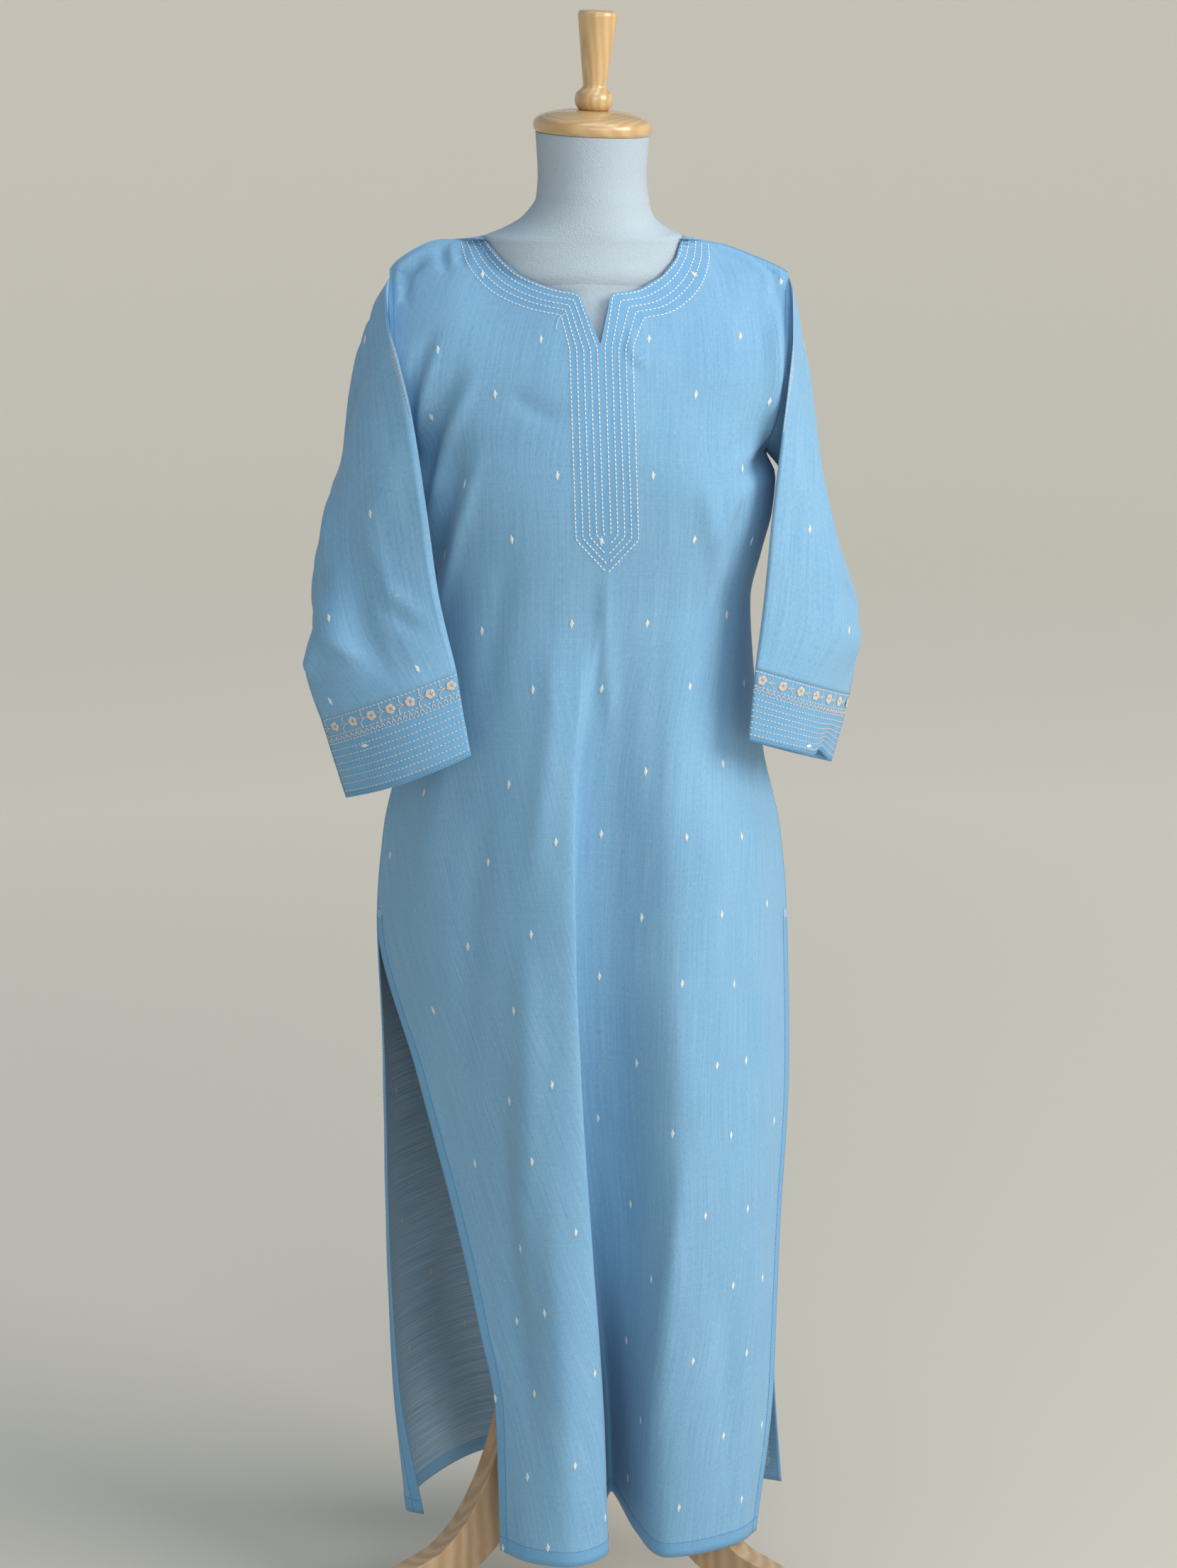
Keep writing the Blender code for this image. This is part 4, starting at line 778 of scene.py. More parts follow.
class Cloth:
    """Outer face of a piece of cloth: a grid of points, with the cloth's own lengths across and along it."""

    def __init__(self, grid, facing, around):
        self.base = grid
        self.grid = grid
        self.facing = facing
        self.around = around
        self.normals = facing * normals_of(grid, around)
        plan = np.linalg.norm(np.diff(grid, axis=1)[:, :, :2], axis=2)
        self.across = np.hstack([np.zeros((len(grid), 1)), np.cumsum(plan, axis=1)])
        if around:
            girth = self.across[:, -1:] + np.linalg.norm(grid[:, :1] - grid[:, -1:], axis=2)
            self.girth = float(girth.mean())
            round_it = np.arange(grid.shape[1]) / grid.shape[1] * self.girth
            self.across = np.broadcast_to(np.minimum(round_it, self.girth - round_it), grid.shape[:2])
        steps = np.linalg.norm(np.diff(grid, axis=0), axis=2)
        self.along = np.vstack([np.zeros((1, grid.shape[1])), np.cumsum(steps, axis=0)])

    def from_sides(self):
        """How far each point of a panel lies from the nearer side edge."""
        return np.minimum(np.abs(self.across - self.across[:, :1]), np.abs(self.across - self.across[:, -1:]))

    def room(self):
        """How far apart the two faces of a tube are."""
        return np.linalg.norm(self.grid - np.roll(self.grid[:, ::-1], 1, axis=1), axis=2)

    def raise_by(self, heights, upward=0.0):
        """Moves each point out by its height. The two faces of a tube don't reach each other."""
        if self.around:
            heights = np.maximum(heights, -np.clip(TUBE_CREASE_SHARE * self.room() - TUBE_GAP, 0, None))
        upward = np.broadcast_to(upward, heights.shape)[:, :, None]
        self.grid = self.grid + heights[:, :, None] * ((1 - upward) * self.normals + upward * (0, 0, 1))
        self.normals = self.facing * normals_of(self.grid, self.around)

    def at(self, row, column, lift=0.0):
        """Places and normals at fractional rows and columns."""
        rows, columns = self.grid.shape[:2]
        row = np.clip(np.asarray(row, float), 0, rows - 1.001)
        if self.around:
            column = np.asarray(column, float) % columns
        else:
            column = np.clip(np.asarray(column, float), 0, columns - 1.001)
        r, c = row.astype(int), column.astype(int)
        after = (c + 1) % columns
        s, t = (row - r)[..., None], (column - c)[..., None]

        def blend(values):
            low = values[r, c] * (1 - t) + values[r, after] * t
            high = values[r + 1, c] * (1 - t) + values[r + 1, after] * t
            return low * (1 - s) + high * s

        normals = blend(self.normals)
        normals /= np.linalg.norm(normals, axis=-1, keepdims=True)
        return blend(self.grid) + lift * normals, normals

    def front_spot(self, x, z):
        """Row and column of the foremost point at that place, seen from the front."""
        low, high = self.base[0, :, 2], self.base[-1, :, 2]
        levels = (self.base[:, 0, 2] - low[0]) / (high[0] - low[0])
        rows = np.interp((z - low) / (high - low), levels, np.arange(len(levels)))
        r = np.minimum(rows.astype(int), len(levels) - 2)
        part = rows - r
        columns = np.arange(len(low))
        xs = self.base[r, columns, 0] * (1 - part) + self.base[r + 1, columns, 0] * part
        ys = self.base[r, columns, 1] * (1 - part) + self.base[r + 1, columns, 1] * part
        hits = np.nonzero((xs[:-1] - x) * (xs[1:] - x) <= 0)[0]
        if not len(hits):
            c = int(np.argmin(np.abs(xs - x)))
            return rows[c], float(c)
        c = hits[np.argmin(ys[hits])]
        t = (x - xs[c]) / (xs[c + 1] - xs[c])
        return rows[c] * (1 - t) + rows[c + 1] * t, c + t

    def front_line(self, places, lift):
        """Points and normals of the places (x, z), seen from the front."""
        spots = np.array([self.front_spot(x, z) for x, z in places])
        return self.at(spots[:, 0], spots[:, 1], lift)

    def column_inside(self, edge, row, length):
        """Column at a length across the cloth from a side edge."""
        away = np.abs(self.across[int(row)] - self.across[int(row), edge])
        order = slice(None) if edge == 0 else slice(None, None, -1)
        return np.interp(length, away[order], np.arange(len(away))[order])

    def tube_spot(self, u, v):
        """Row and column of a tube at lengths round from its crease and along from its first ring."""
        rows, columns = self.grid.shape[:2]
        row = np.interp(v, self.along.mean(axis=1), np.arange(rows))
        return row, np.asarray(u, float) / self.girth * columns


class Trim:
    """Many small raised pieces, such as stitches, gathered into one mesh."""

    def __init__(self):
        self.points = []
        self.faces = []
        self.count = 0

    def add(self, points, faces):
        """Takes in a piece whose faces count its own points from 0."""
        self.points.append(points)
        self.faces += [tuple(self.count + k for k in face) for face in faces]
        self.count += len(points)

    def strand(self, start, end, normal, width, height):
        """A stitch: a short strand, fuller in the middle, that lies on the cloth."""
        along = end - start
        side = np.cross(normal, along)
        side *= width / 2 / np.linalg.norm(side)
        up = normal * height
        points = [start - up * 0.2]
        for t in (0.22, 0.78):
            middle = start + t * along
            points += [middle - side, middle - side * 0.6 + up, middle + side * 0.6 + up, middle + side]
        points.append(end - up * 0.2)
        faces = [(0, 2, 1), (0, 3, 2), (0, 4, 3), (0, 1, 4)]
        faces += [(1, 2, 6, 5), (2, 3, 7, 6), (3, 4, 8, 7), (4, 1, 5, 8)]
        faces += [(9, 5, 6), (9, 6, 7), (9, 7, 8), (9, 8, 5)]
        self.add(np.array(points), faces)

    def chain(self, points, normals, size):
        """Strands from each point to the next, overlapping a little."""
        for a, b, normal in zip(points[:-1], points[1:], normals):
            self.strand(a - (b - a) * 0.2, b + (b - a) * 0.2, normal, *size)

    def build(self, name, material):
        return add_object(name, np.vstack(self.points), self.faces, material, "kurta")


def add_object(name, points, faces, material, piece_slot=None, smooth=True):
    """Mesh in the world frame, from points about the form's axis."""
    mesh = bpy.data.meshes.new(name)
    points = np.asarray(points) + (0, FORM_Y, 0)
    mesh.from_pydata(points.tolist(), [], [tuple(face) for face in faces])
    mesh.polygons.foreach_set("use_smooth", [smooth] * len(mesh.polygons))
    mesh.materials.append(material)
    mesh.update()
    obj = bpy.data.objects.new(name, mesh)
    bpy.context.scene.collection.objects.link(obj)
    if piece_slot:
        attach(obj, "root")
    return obj


def grid_faces(rows, columns, around, shift, flip):
    """Quads over a grid of points whose numbers start at shift."""
    number = shift + np.arange(rows * columns).reshape(rows, columns)
    right = np.roll(number, -1, axis=1)
    if not around:
        number, right = number[:, :-1], right[:, :-1]
    quads = np.stack([number[:-1], right[:-1], right[1:], number[1:]], axis=-1).reshape(-1, 4)
    return quads[:, ::-1] if flip else quads


def add_cloth(name, cloth, material):
    """Closed thin shell under the outer face of the cloth, thicker where it is folded double."""
    rows, columns = cloth.grid.shape[:2]
    size = rows * columns
    thickness = CLOTH + CLOTH * smooth_step(cloth.bands / 0.002 + 0.5)
    if cloth.around:
        thickness = np.clip(TUBE_CLOTH_SHARE * cloth.room(), THINNEST_CLOTH, thickness)
    inner = cloth.grid - thickness[:, :, None] * cloth.normals
    flip = cloth.facing < 0
    faces = [grid_faces(rows, columns, cloth.around, 0, flip)]
    faces.append(grid_faces(rows, columns, cloth.around, size, not flip))
    number = np.arange(size).reshape(rows, columns)
    if cloth.around:
        rims = [np.append(edge, edge[0]) for edge in (number[0], number[-1][::-1])]
    else:
        rims = [np.concatenate([number[0], number[1:, -1], number[-1, -2::-1], number[-2::-1, 0]])]
    for rim in rims:
        quads = np.stack([rim[:-1], rim[:-1] + size, rim[1:] + size, rim[1:]], axis=-1)
        faces.append(quads[:, ::-1] if flip else quads)
    points = np.vstack([cloth.grid.reshape(-1, 3), inner.reshape(-1, 3)])
    obj = add_object(name, points, np.vstack(faces).tolist(), material, "kurta")
    place = np.dstack([cloth.across, cloth.along, cloth.bands]).reshape(-1, 3)
    attribute = obj.data.attributes.new("cloth", "FLOAT_VECTOR", "POINT")
    attribute.data.foreach_set("vector", np.vstack([place, place]).ravel())
    attribute = obj.data.attributes.new("inside", "FLOAT", "POINT")
    attribute.data.foreach_set("value", np.repeat([0.0, 1.0], size))
    return obj


class Nodes:
    """Short way to wire a material."""

    def __init__(self, name):
        self.material = bpy.data.materials.new(name)
        self.material.use_nodes = True
        self.tree = self.material.node_tree
        self.shader = self.tree.nodes["Principled BSDF"]

    def add(self, kind, inputs=(), **settings):
        node = self.tree.nodes.new(kind)
        for key, value in settings.items():
            setattr(node, key, value)
        for key, value in dict(inputs).items():
            self.put(node.inputs[key], value)
        return node

    def put(self, socket, value):
        if isinstance(value, bpy.types.NodeSocket):
            self.tree.links.new(value, socket)
        else:
            socket.default_value = value

    def math(self, operation, first, second=0.0, third=0.0):
        node = self.add("ShaderNodeMath", {0: first, 1: second, 2: third}, operation=operation)
        return node.outputs[0]

    def noise(self, place, scale, stretch=(1, 1, 1), detail=2.0, roughness=0.5):
        mapping = self.add("ShaderNodeMapping", {"Vector": place, "Scale": stretch})
        inputs = {"Vector": mapping.outputs[0], "Scale": scale, "Detail": detail, "Roughness": roughness}
        return self.add("ShaderNodeTexNoise", inputs).outputs["Fac"]

    def ramp(self, value, low, high, to_low=0.0, to_high=1.0):
        inputs = {"Value": value, "From Min": low, "From Max": high, "To Min": to_low, "To Max": to_high}
        return self.add("ShaderNodeMapRange", inputs).outputs["Result"]

    def mix(self, amount, first, second):
        """Colour between two."""
        node = self.add("ShaderNodeMix", data_type="RGBA")
        self.put(node.inputs["Factor"], amount)
        self.put(node.inputs[6], first)
        self.put(node.inputs[7], second)
        return node.outputs[2]

    def bump(self, height, strength, distance):
        inputs = {"Height": height, "Strength": strength, "Distance": distance}
        self.put(self.shader.inputs["Normal"], self.add("ShaderNodeBump", inputs).outputs[0])


def chambray():
    """Blue warp and paler weft, with fine slubs down the cloth. Double layers are a little deeper."""
    m = Nodes("chambray")
    place = m.add("ShaderNodeAttribute", attribute_name="cloth").outputs["Vector"]
    inside = m.add("ShaderNodeAttribute", attribute_name="inside").outputs["Fac"]
    hem = m.add("ShaderNodeSeparateXYZ", {0: place}).outputs["Z"]
    layers = {name: m.noise(place, 1.0, stretch, detail) for name, (stretch, detail, _, _) in WEAVE.items()}
    pale = WEAVE_BASE
    for name, (_, _, low, weight) in WEAVE.items():
        pale = m.math("ADD", pale, m.math("MULTIPLY", m.ramp(layers[name], low, 1 - low), weight))
    shade = m.mix(pale, CHAMBRAY_DEEP, CHAMBRAY_PALE)
    back = m.mix(m.ramp(layers["slubs"], 0.3, 0.7), CHAMBRAY_BACK_DEEP, CHAMBRAY_BACK_PALE)
    double = m.math("MULTIPLY", m.ramp(hem, -0.0003, 0.0003), 0.50)
    shade = m.mix(m.math("MULTIPLY", inside, m.math("SUBTRACT", 1.0, double)), shade, back)
    m.put(m.shader.inputs["Base Color"], m.mix(double, shade, CHAMBRAY_DOUBLE))
    m.shader.inputs["Roughness"].default_value = 0.85
    m.shader.inputs["Specular IOR Level"].default_value = 0.15
    m.shader.inputs["Sheen Weight"].default_value = 0.15
    m.shader.inputs["Sheen Roughness"].default_value = 0.5
    m.bump(m.math("ADD", layers["slubs"], m.math("MULTIPLY", layers["weft"], 0.6)), 0.35, 0.0004)
    return m.material


def plain(name, base, roughness, grain=600.0, strength=0.2):
    """One colour with a fine grain, for thread and for the form's cover."""
    m = Nodes(name)
    place = m.add("ShaderNodeTexCoord").outputs["Object"]
    fine = m.noise(place, grain, detail=2.0)
    broad = m.noise(place, 9.0)
    darker = tuple(0.90 * v for v in base[:3]) + (1.0,)
    shade = m.math("ADD", m.math("MULTIPLY", fine, 0.6), m.math("MULTIPLY", broad, 0.4))
    m.put(m.shader.inputs["Base Color"], m.mix(m.ramp(shade, 0.35, 0.65), darker, base))
    m.shader.inputs["Roughness"].default_value = roughness
    m.shader.inputs["Specular IOR Level"].default_value = 0.25
    m.bump(fine, strength, 0.0008)
    return m.material


def wood(name, pale, dark, across, gloss):
    """Wood whose grain runs along the object's Z. across stretches its rings."""
    m = Nodes(name)
    place = m.add("ShaderNodeTexCoord").outputs["Object"]
    warp = m.noise(place, 5.0, (1, 1, 0.4), 3.0)
    mapping = m.add("ShaderNodeMapping", {"Vector": place, "Scale": across})
    bent = m.add("ShaderNodeVectorMath", {0: mapping.outputs[0], 1: warp}, operation="ADD")
    inputs = {"Vector": bent.outputs[0], "Scale": 1.0, "Distortion": 2.5, "Detail": 2.0}
    rings = m.add("ShaderNodeTexWave", inputs, wave_type="RINGS", rings_direction="Z").outputs["Fac"]
    pores = m.noise(place, 1.0, (700, 700, 18), 2.0)
    amount = m.math("ADD", m.math("MULTIPLY", rings, 0.55), m.math("MULTIPLY", pores, 0.45))
    m.put(m.shader.inputs["Base Color"], m.mix(m.ramp(amount, 0.2, 0.85), dark, pale))
    m.shader.inputs["Roughness"].default_value = 0.5 if gloss == 0 else 0.32
    m.shader.inputs["Coat Weight"].default_value = gloss
    m.shader.inputs["Coat Roughness"].default_value = 0.12
    m.bump(pores, 0.15, 0.0005)
    return m.material


def depth_within(x, z, lifted, side):
    """Depth of the form where the cloth lies on it, a gap inside the cloth whichever way that faces."""
    around = [
        body_depth(x + beside, np.full_like(x, level), side)
        for beside in (-0.004, 0.0, 0.004)
        for level in (z, lifted)
    ]
    tucked = 0.009 * smooth_step((np.abs(x) - 0.07) / 0.05) + 0.002 * smooth_step((1.30 - z) / 0.03)
    return np.maximum(np.min(around, axis=0) - FORM_GAP - tucked, 0.0015)


def closed_plan(x, front, back, height):
    """Points round a plan, from its left side along the front."""
    height = np.broadcast_to(height, x.shape)
    front_side = np.column_stack([x, -front, height])
    back_side = np.column_stack([x, back, height])
    return np.vstack([front_side, back_side[::-1][1:-1]])


def form_ring(z):
    """Plan of the form at one height."""
    turn = np.radians(np.linspace(-90, 90, FORM_SIDE))
    if z <= FORM_CHEST:
        half = float(curve(z, FORM["z"], FORM["half"]))
        front = float(curve(z, FORM["z"], FORM["front"])) * np.cos(turn) ** 0.9
        back = float(curve(z, FORM["z"], FORM["back"])) * np.cos(turn) ** 0.9
        x = half * np.sin(turn)
    else:
        lifted = z + FORM_DROP
        inset = np.interp(z, *FORM_INSET)
        left = float(curve(lifted, BODY["z"], BODY["left"])) + inset
        right = float(curve(lifted, BODY["z"], BODY["right"])) - inset
        x = (left + right) / 2 + (right - left) / 2 * np.sin(turn)
        front, back = (depth_within(x, z, lifted, side) for side in ("front", "back"))
    return closed_plan(x, front, back, z)


def neck_ring(z):
    """Plan of the form's neck. The top one leans with the cap."""
    turn = np.radians(np.linspace(-90, 90, FORM_SIDE))
    under_cloth = np.interp(z, *NECK_UNDER_CLOTH)
    half = float(curve(z, NECK["z"], NECK["half"])) - under_cloth
    x = neck_middle(z) + half * np.sin(turn)
    front = (float(curve(z, NECK["z"], NECK["front"])) - under_cloth) * np.cos(turn)
    back = (float(curve(z, NECK["z"], NECK["back"])) - under_cloth) * np.cos(turn)
    lean = np.clip((z - LEAN_FOOT) / (NECK_TOP - LEAN_FOOT), 0, 1) * math.tan(LEAN)
    return closed_plan(x, np.maximum(front, 0.0004), np.maximum(back, 0.0004), z - lean * (x - NECK_X))


def closed_rings(rings, shift):
    """Faces of a closed piece made of rings, whose points' numbers start at shift."""
    count = len(rings[0])
    last = shift + (len(rings) - 1) * count
    sides = grid_faces(len(rings), count, True, shift, False).tolist()
    return [tuple(reversed(range(shift, shift + count)))] + sides + [tuple(range(last, last + count))]


def add_form(material):
    """The limbless form: its body up to the shoulders, and its neck with a wide foot inside them."""
    chest = finer([level - FORM_DROP for level in PANEL_ROWS if 1.225 < level < 1.397], 0.004)
    body = [form_ring(z) for z in finer(FORM_RINGS, 0.012)] + [form_ring(z) for z in chest]
    neck = [neck_ring(z) for z in finer(NECK_RINGS, 0.0015)]
    faces = closed_rings(body, 0) + closed_rings(neck, len(body) * len(body[0]))
    obj = add_object("form_cover", np.vstack(body + neck), faces, material, "form")
    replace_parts(obj, "dress_form")
    return obj


def add_turned(name, profile, material, steps=72):
    """Turned piece on the leaning axis above the neck."""
    profile = through(profile, [4] * (len(profile) - 1))
    turn = np.linspace(0, 2 * math.pi, steps, endpoint=False)
    rings = [np.column_stack([r * np.cos(turn), r * np.sin(turn), np.full(steps, z)]) for r, z in profile]
    obj = add_object(name, np.vstack(rings) - (0, FORM_Y, 0), closed_rings(rings, 0), material)
    obj.location = (NECK_X, FORM_Y, NECK_TOP)
    obj.rotation_euler = (0, LEAN, 0)
    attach(obj, "root")
    return obj


def add_leg(name, azimuth, material):
    """Leg sawn from a board, standing in the vertical plane at its azimuth."""
    top = through(LEG_TOP_EDGE, [3] * (len(LEG_TOP_EDGE) - 1))
    under = through(LEG_UNDER_EDGE[:-1], [3] * (len(LEG_UNDER_EDGE) - 2))
    outline = np.vstack([top, under, LEG_UNDER_EDGE[-1:]])
    count = len(outline)
    points = [(r, -LEG_THICK / 2, z) for r, z in outline] + [(r, LEG_THICK / 2, z) for r, z in outline]
    faces = [tuple(reversed(range(count))), tuple(range(count, 2 * count))]
    faces += [(k, (k + 1) % count, count + (k + 1) % count, count + k) for k in range(count)]
    obj = add_object(name, np.array(points) - (0, FORM_Y, 0), faces, material, smooth=False)
    obj.location = (0, FORM_Y, 0)
    obj.rotation_euler = (0, 0, math.radians(azimuth))
    bevel = obj.modifiers.new("rounded edges", "BEVEL")
    bevel.width = 0.0012
    bevel.segments = 2
    bevel.angle_limit = math.radians(40)
    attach(obj, "root")
    return obj


def add_backdrop():
    """Round pale floor that curves up into a plain wall, dimly lit of itself towards the wall."""
    turn = np.linspace(0, math.pi / 2, 16)
    profile = [(0.001, 0.0), (3.0, 0.0), (5.5, 0.0)]
    profile += [(6.2 + 2.8 * math.sin(a), 2.8 * (1 - math.cos(a))) for a in turn] + [(9.0, 3.8)]
    around = np.linspace(0, 2 * math.pi, 72, endpoint=False)
    rings = [np.column_stack([r * np.cos(around), r * np.sin(around), np.full(72, z)]) for r, z in profile]
    faces = grid_faces(len(rings), 72, True, 0, False).tolist()
    m = Nodes("backdrop")
    m.shader.inputs["Base Color"].default_value = BACKDROP
    m.shader.inputs["Roughness"].default_value = 0.9
    place = m.add("ShaderNodeTexCoord").outputs["Object"]
    apart = m.add("ShaderNodeVectorMath", {0: place}, operation="LENGTH").outputs["Value"]
    m.shader.inputs["Emission Color"].default_value = BACKDROP
    m.put(m.shader.inputs["Emission Strength"], m.math("MULTIPLY", m.ramp(apart, -0.6, 3.4), WALL_GLOW))
    add_object("backdrop", np.vstack(rings), faces, m.material)


def add_light(name, place, aim, size, power, tint):
    """Rectangular soft light, turned to its aim."""
    data = bpy.data.lights.new(name, "AREA")
    data.shape = "RECTANGLE"
    data.size, data.size_y = size
    data.energy = power
    data.color = tint
    obj = bpy.data.objects.new(name, data)
    bpy.context.scene.collection.objects.link(obj)
    obj.location = place
    obj.rotation_euler = (Vector(aim) - Vector(place)).to_track_quat("-Z", "Y").to_euler()


def add_studio():
    """Backdrop, soft lights, pale surroundings and the photograph's camera."""
    add_backdrop()
    for name, settings in LIGHTS.items():
        add_light(name, *settings)
    world = bpy.data.worlds.new("studio")
    world.use_nodes = True
    world.node_tree.nodes["Background"].inputs["Color"].default_value = SURROUNDINGS
    world.node_tree.nodes["Background"].inputs["Strength"].default_value = SURROUNDINGS_GLOW
    bpy.context.scene.world = world
    bpy.context.scene.view_settings.view_transform = "Standard"
    data = bpy.data.cameras.new("camera")
    data.lens = CAMERA_LENS
    data.sensor_width = 36
    camera = bpy.data.objects.new("camera", data)
    camera.location = CAMERA_PLACE
    camera.rotation_euler = (math.radians(CAMERA_TILT), 0, 0)
    bpy.context.scene.collection.objects.link(camera)
    bpy.context.scene.camera = camera


def front_lengths(front):
    """Lengths across the front from the valley of its fold, which swallows more cloth the lower it is."""
    turn, valley = (FINER * sum(FRONT_STEPS[:k]) for k in (3, 5))
    swallowed = curve(front.base[:, valley, 2], *zip(*SWALLOWED))
    columns = np.arange(front.base.shape[1])
    left_part = smooth_step((valley - columns) / (valley - turn))
    return front.across - front.across[:, valley : valley + 1] - swallowed[:, None] * left_part


def hem_depth(cloth):
    """How far inside a hem each point lies, negative outside them."""
    slit = np.minimum(SLIT_HEM + 0.0010 - cloth.from_sides(), SLIT_TOP - cloth.base[:, :, 2])
    return np.maximum(slit, HEM_DEEP + 0.0010 - cloth.along)


def facing_depth(front):
    """How far inside the neckline's facing each point of the front lies, negative outside it."""
    left, right = neck_paths()[-2:]
    edge = np.vstack([left, right[::-1]])
    edge = edge + (0, -0.0012)
    x, z = front.base[:, :, 0], front.base[:, :, 2]
    apart = np.full(x.shape, 9.0)
    inside = np.zeros(x.shape, bool)
    for (x0, z0), (x1, z1) in zip(edge[:-1], edge[1:]):
        length = math.hypot(x1 - x0, z1 - z0)
        if length < 1e-6:
            continue
        along = np.clip(((x - x0) * (x1 - x0) + (z - z0) * (z1 - z0)) / length**2, 0, 1)
        apart = np.minimum(apart, np.hypot(x - x0 - along * (x1 - x0), z - z0 - along * (z1 - z0)))
        if z0 != z1:
            inside ^= ((z0 > z) != (z1 > z)) & (x < x0 + (z - z0) / (z1 - z0) * (x1 - x0))
    top = np.interp(x, (left[0, 0], right[0, 0]), (left[0, 1], right[0, 1]))
    inside |= (z > 1.33) & (z > top) & (x > left[0, 0]) & (x < right[0, 0])
    return np.where(inside, apart, -apart)


def raise_panel(cloth, creases, waves):
    """Creases a panel. Its side seams stay closed, and its shoulder edges only move up."""
    x, z = cloth.base[:, :, 0], cloth.base[:, :, 2]
    side = cloth.from_sides()
    free = smooth_step(side / SEAM_FADE)
    shoulder = smooth_step((z - SHOULDER_POINT) / SHOULDER_FADE + 1) * (1 - smooth_step(side / SHOULDER_FADE))
    heights = creased(x, z, SHOULDER_CREASES) + free * (creased(x, z, creases) + waves)
    cloth.raise_by(heights + 0.0004 * smooth_step(cloth.bands / 0.003 + 0.5), shoulder)


def build_panels():
    """Front and back, with their creases."""
    below = finer(PANEL_ROWS[:-SHOULDER_ROWS], ROW_STEP)
    levels = np.concatenate([below, finer(PANEL_ROWS[-SHOULDER_ROWS:], SHOULDER_ROW_STEP)[1:]])
    front_steps = [FINER * k for k in FRONT_STEPS]
    angles = (FRONT_ANGLES_LOW, FRONT_ANGLES_HIGH)
    grid = panel_grid(FRONT_FOLDS, front_steps, "front", *angles, NECKLINE, FRONT_HEM_RISE, levels)
    front = Cloth(grid, 1, False)
    front.across = front_lengths(front)
    front.bands = np.maximum(hem_depth(front), np.minimum(facing_depth(front), 0.0001))
    z = front.base[:, :, 2]
    gentler = smooth_step((z - 1.20) / 0.02) * 0.6 + 0.4
    raise_panel(front, FRONT_CREASES, ripples(front.across, z, FRONT_RIPPLES) * gentler)
    back_steps = [FINER * k for k in BACK_STEPS]
    angles = (BACK_ANGLES, BACK_ANGLES)
    no_rise = np.zeros(len(BACK_ANGLES))
    grid = panel_grid(BACK_FOLDS, back_steps, "back", *angles, BACK_NECKLINE, no_rise, levels)
    back = Cloth(grid, -1, False)
    middle = FINER * sum(BACK_STEPS[:5])
    back.across = back.across - back.across[:, middle : middle + 1]
    back.bands = hem_depth(back)
    raise_panel(back, BACK_CREASES, ripples(back.across, back.base[:, :, 2], BACK_RIPPLES))
    return front, back


def build_sleeve(side):
    """A sleeve. Its weave runs straight up from the cuff."""
    outward = -1 if side == "left" else 1
    sleeve = Cloth(tube_grid(armhole(side, outward), SLEEVES[side], SLEEVE_RINGS), -outward, True)
    columns = np.arange(sleeve.grid.shape[1])
    u = np.broadcast_to(columns / len(columns) * sleeve.girth, sleeve.along.shape)
    ends = smooth_step(sleeve.along / 0.02) * smooth_step((sleeve.along[-1] - sleeve.along) / 0.03)
    pressed = smooth_step(np.minimum(u, sleeve.girth - u) / 0.012)
    waves = ripples(u, sleeve.along, SLEEVE_RIPPLES) + creased(u, sleeve.along, SLEEVE_CREASES[side])
    sleeve.raise_by(waves * ends * pressed)
    sleeve.along = sleeve.along - sleeve.along[-1] + sleeve.along[-1].mean()
    sleeve.bands = np.full(sleeve.along.shape, -0.02)
    return sleeve


def build_cuff(side):
    """A cuff. The right one is dented near its seam, and its front edge is lifted."""
    table = {line: SLEEVES[side][line][-1:] + points for line, points in CUFFS[side].items()}
    cuff = Cloth(tube_grid(None, table, CUFF_RINGS), 1 if side == "left" else -1, True)
    columns = np.arange(cuff.grid.shape[1])
    u = np.broadcast_to(columns / len(columns) * cuff.girth, cuff.along.shape)
    low = smooth_step((cuff.along - 0.020) / 0.050)
    front_face = np.sin(np.clip(u / cuff.girth * 2, 0, 1) * math.pi)
    if side == "right":
        part, width, depth, rise = CUFF_DENT
        dent = np.exp(-(((u - part * cuff.girth) / width) ** 2)) * low
        lift = CUFF_LIFT * front_face * low + rise * dent
        cuff.grid = cuff.grid + lift[:, :, None] * (0, 0, 1)
        cuff.raise_by(-depth * dent + 0.0015 * front_face * low)
    else:
        cuff.raise_by(0.0012 * front_face * low + ripples(u, cuff.along, CUFF_RIPPLES) * low)
    cuff.bands = np.full(cuff.along.shape, 0.02)
    return cuff


def read_at(at, lengths, values):
    """Values at the given lengths along a line of points, column by column."""
    return np.stack([np.interp(at, lengths, column) for column in np.transpose(values)], axis=-1)


def along_path(path, pitch):
    """Even steps along a line of points: an array of places."""
    lengths = lengths_along(path)
    return read_at(np.arange(0, lengths[-1], pitch), lengths, path)


def stitch_path(trim, points, normals, thread):
    """Running stitches along points on the cloth that lie a short way apart."""
    pitch, length, width, height = thread
    lengths = lengths_along(points)
    for start in np.arange(0.0005, lengths[-1] - length, pitch):
        ends = read_at((start, start + length), lengths, points)
        middle = read_at(start + length / 2, lengths, normals)
        trim.strand(ends[0], ends[1], middle / np.linalg.norm(middle), width, height)


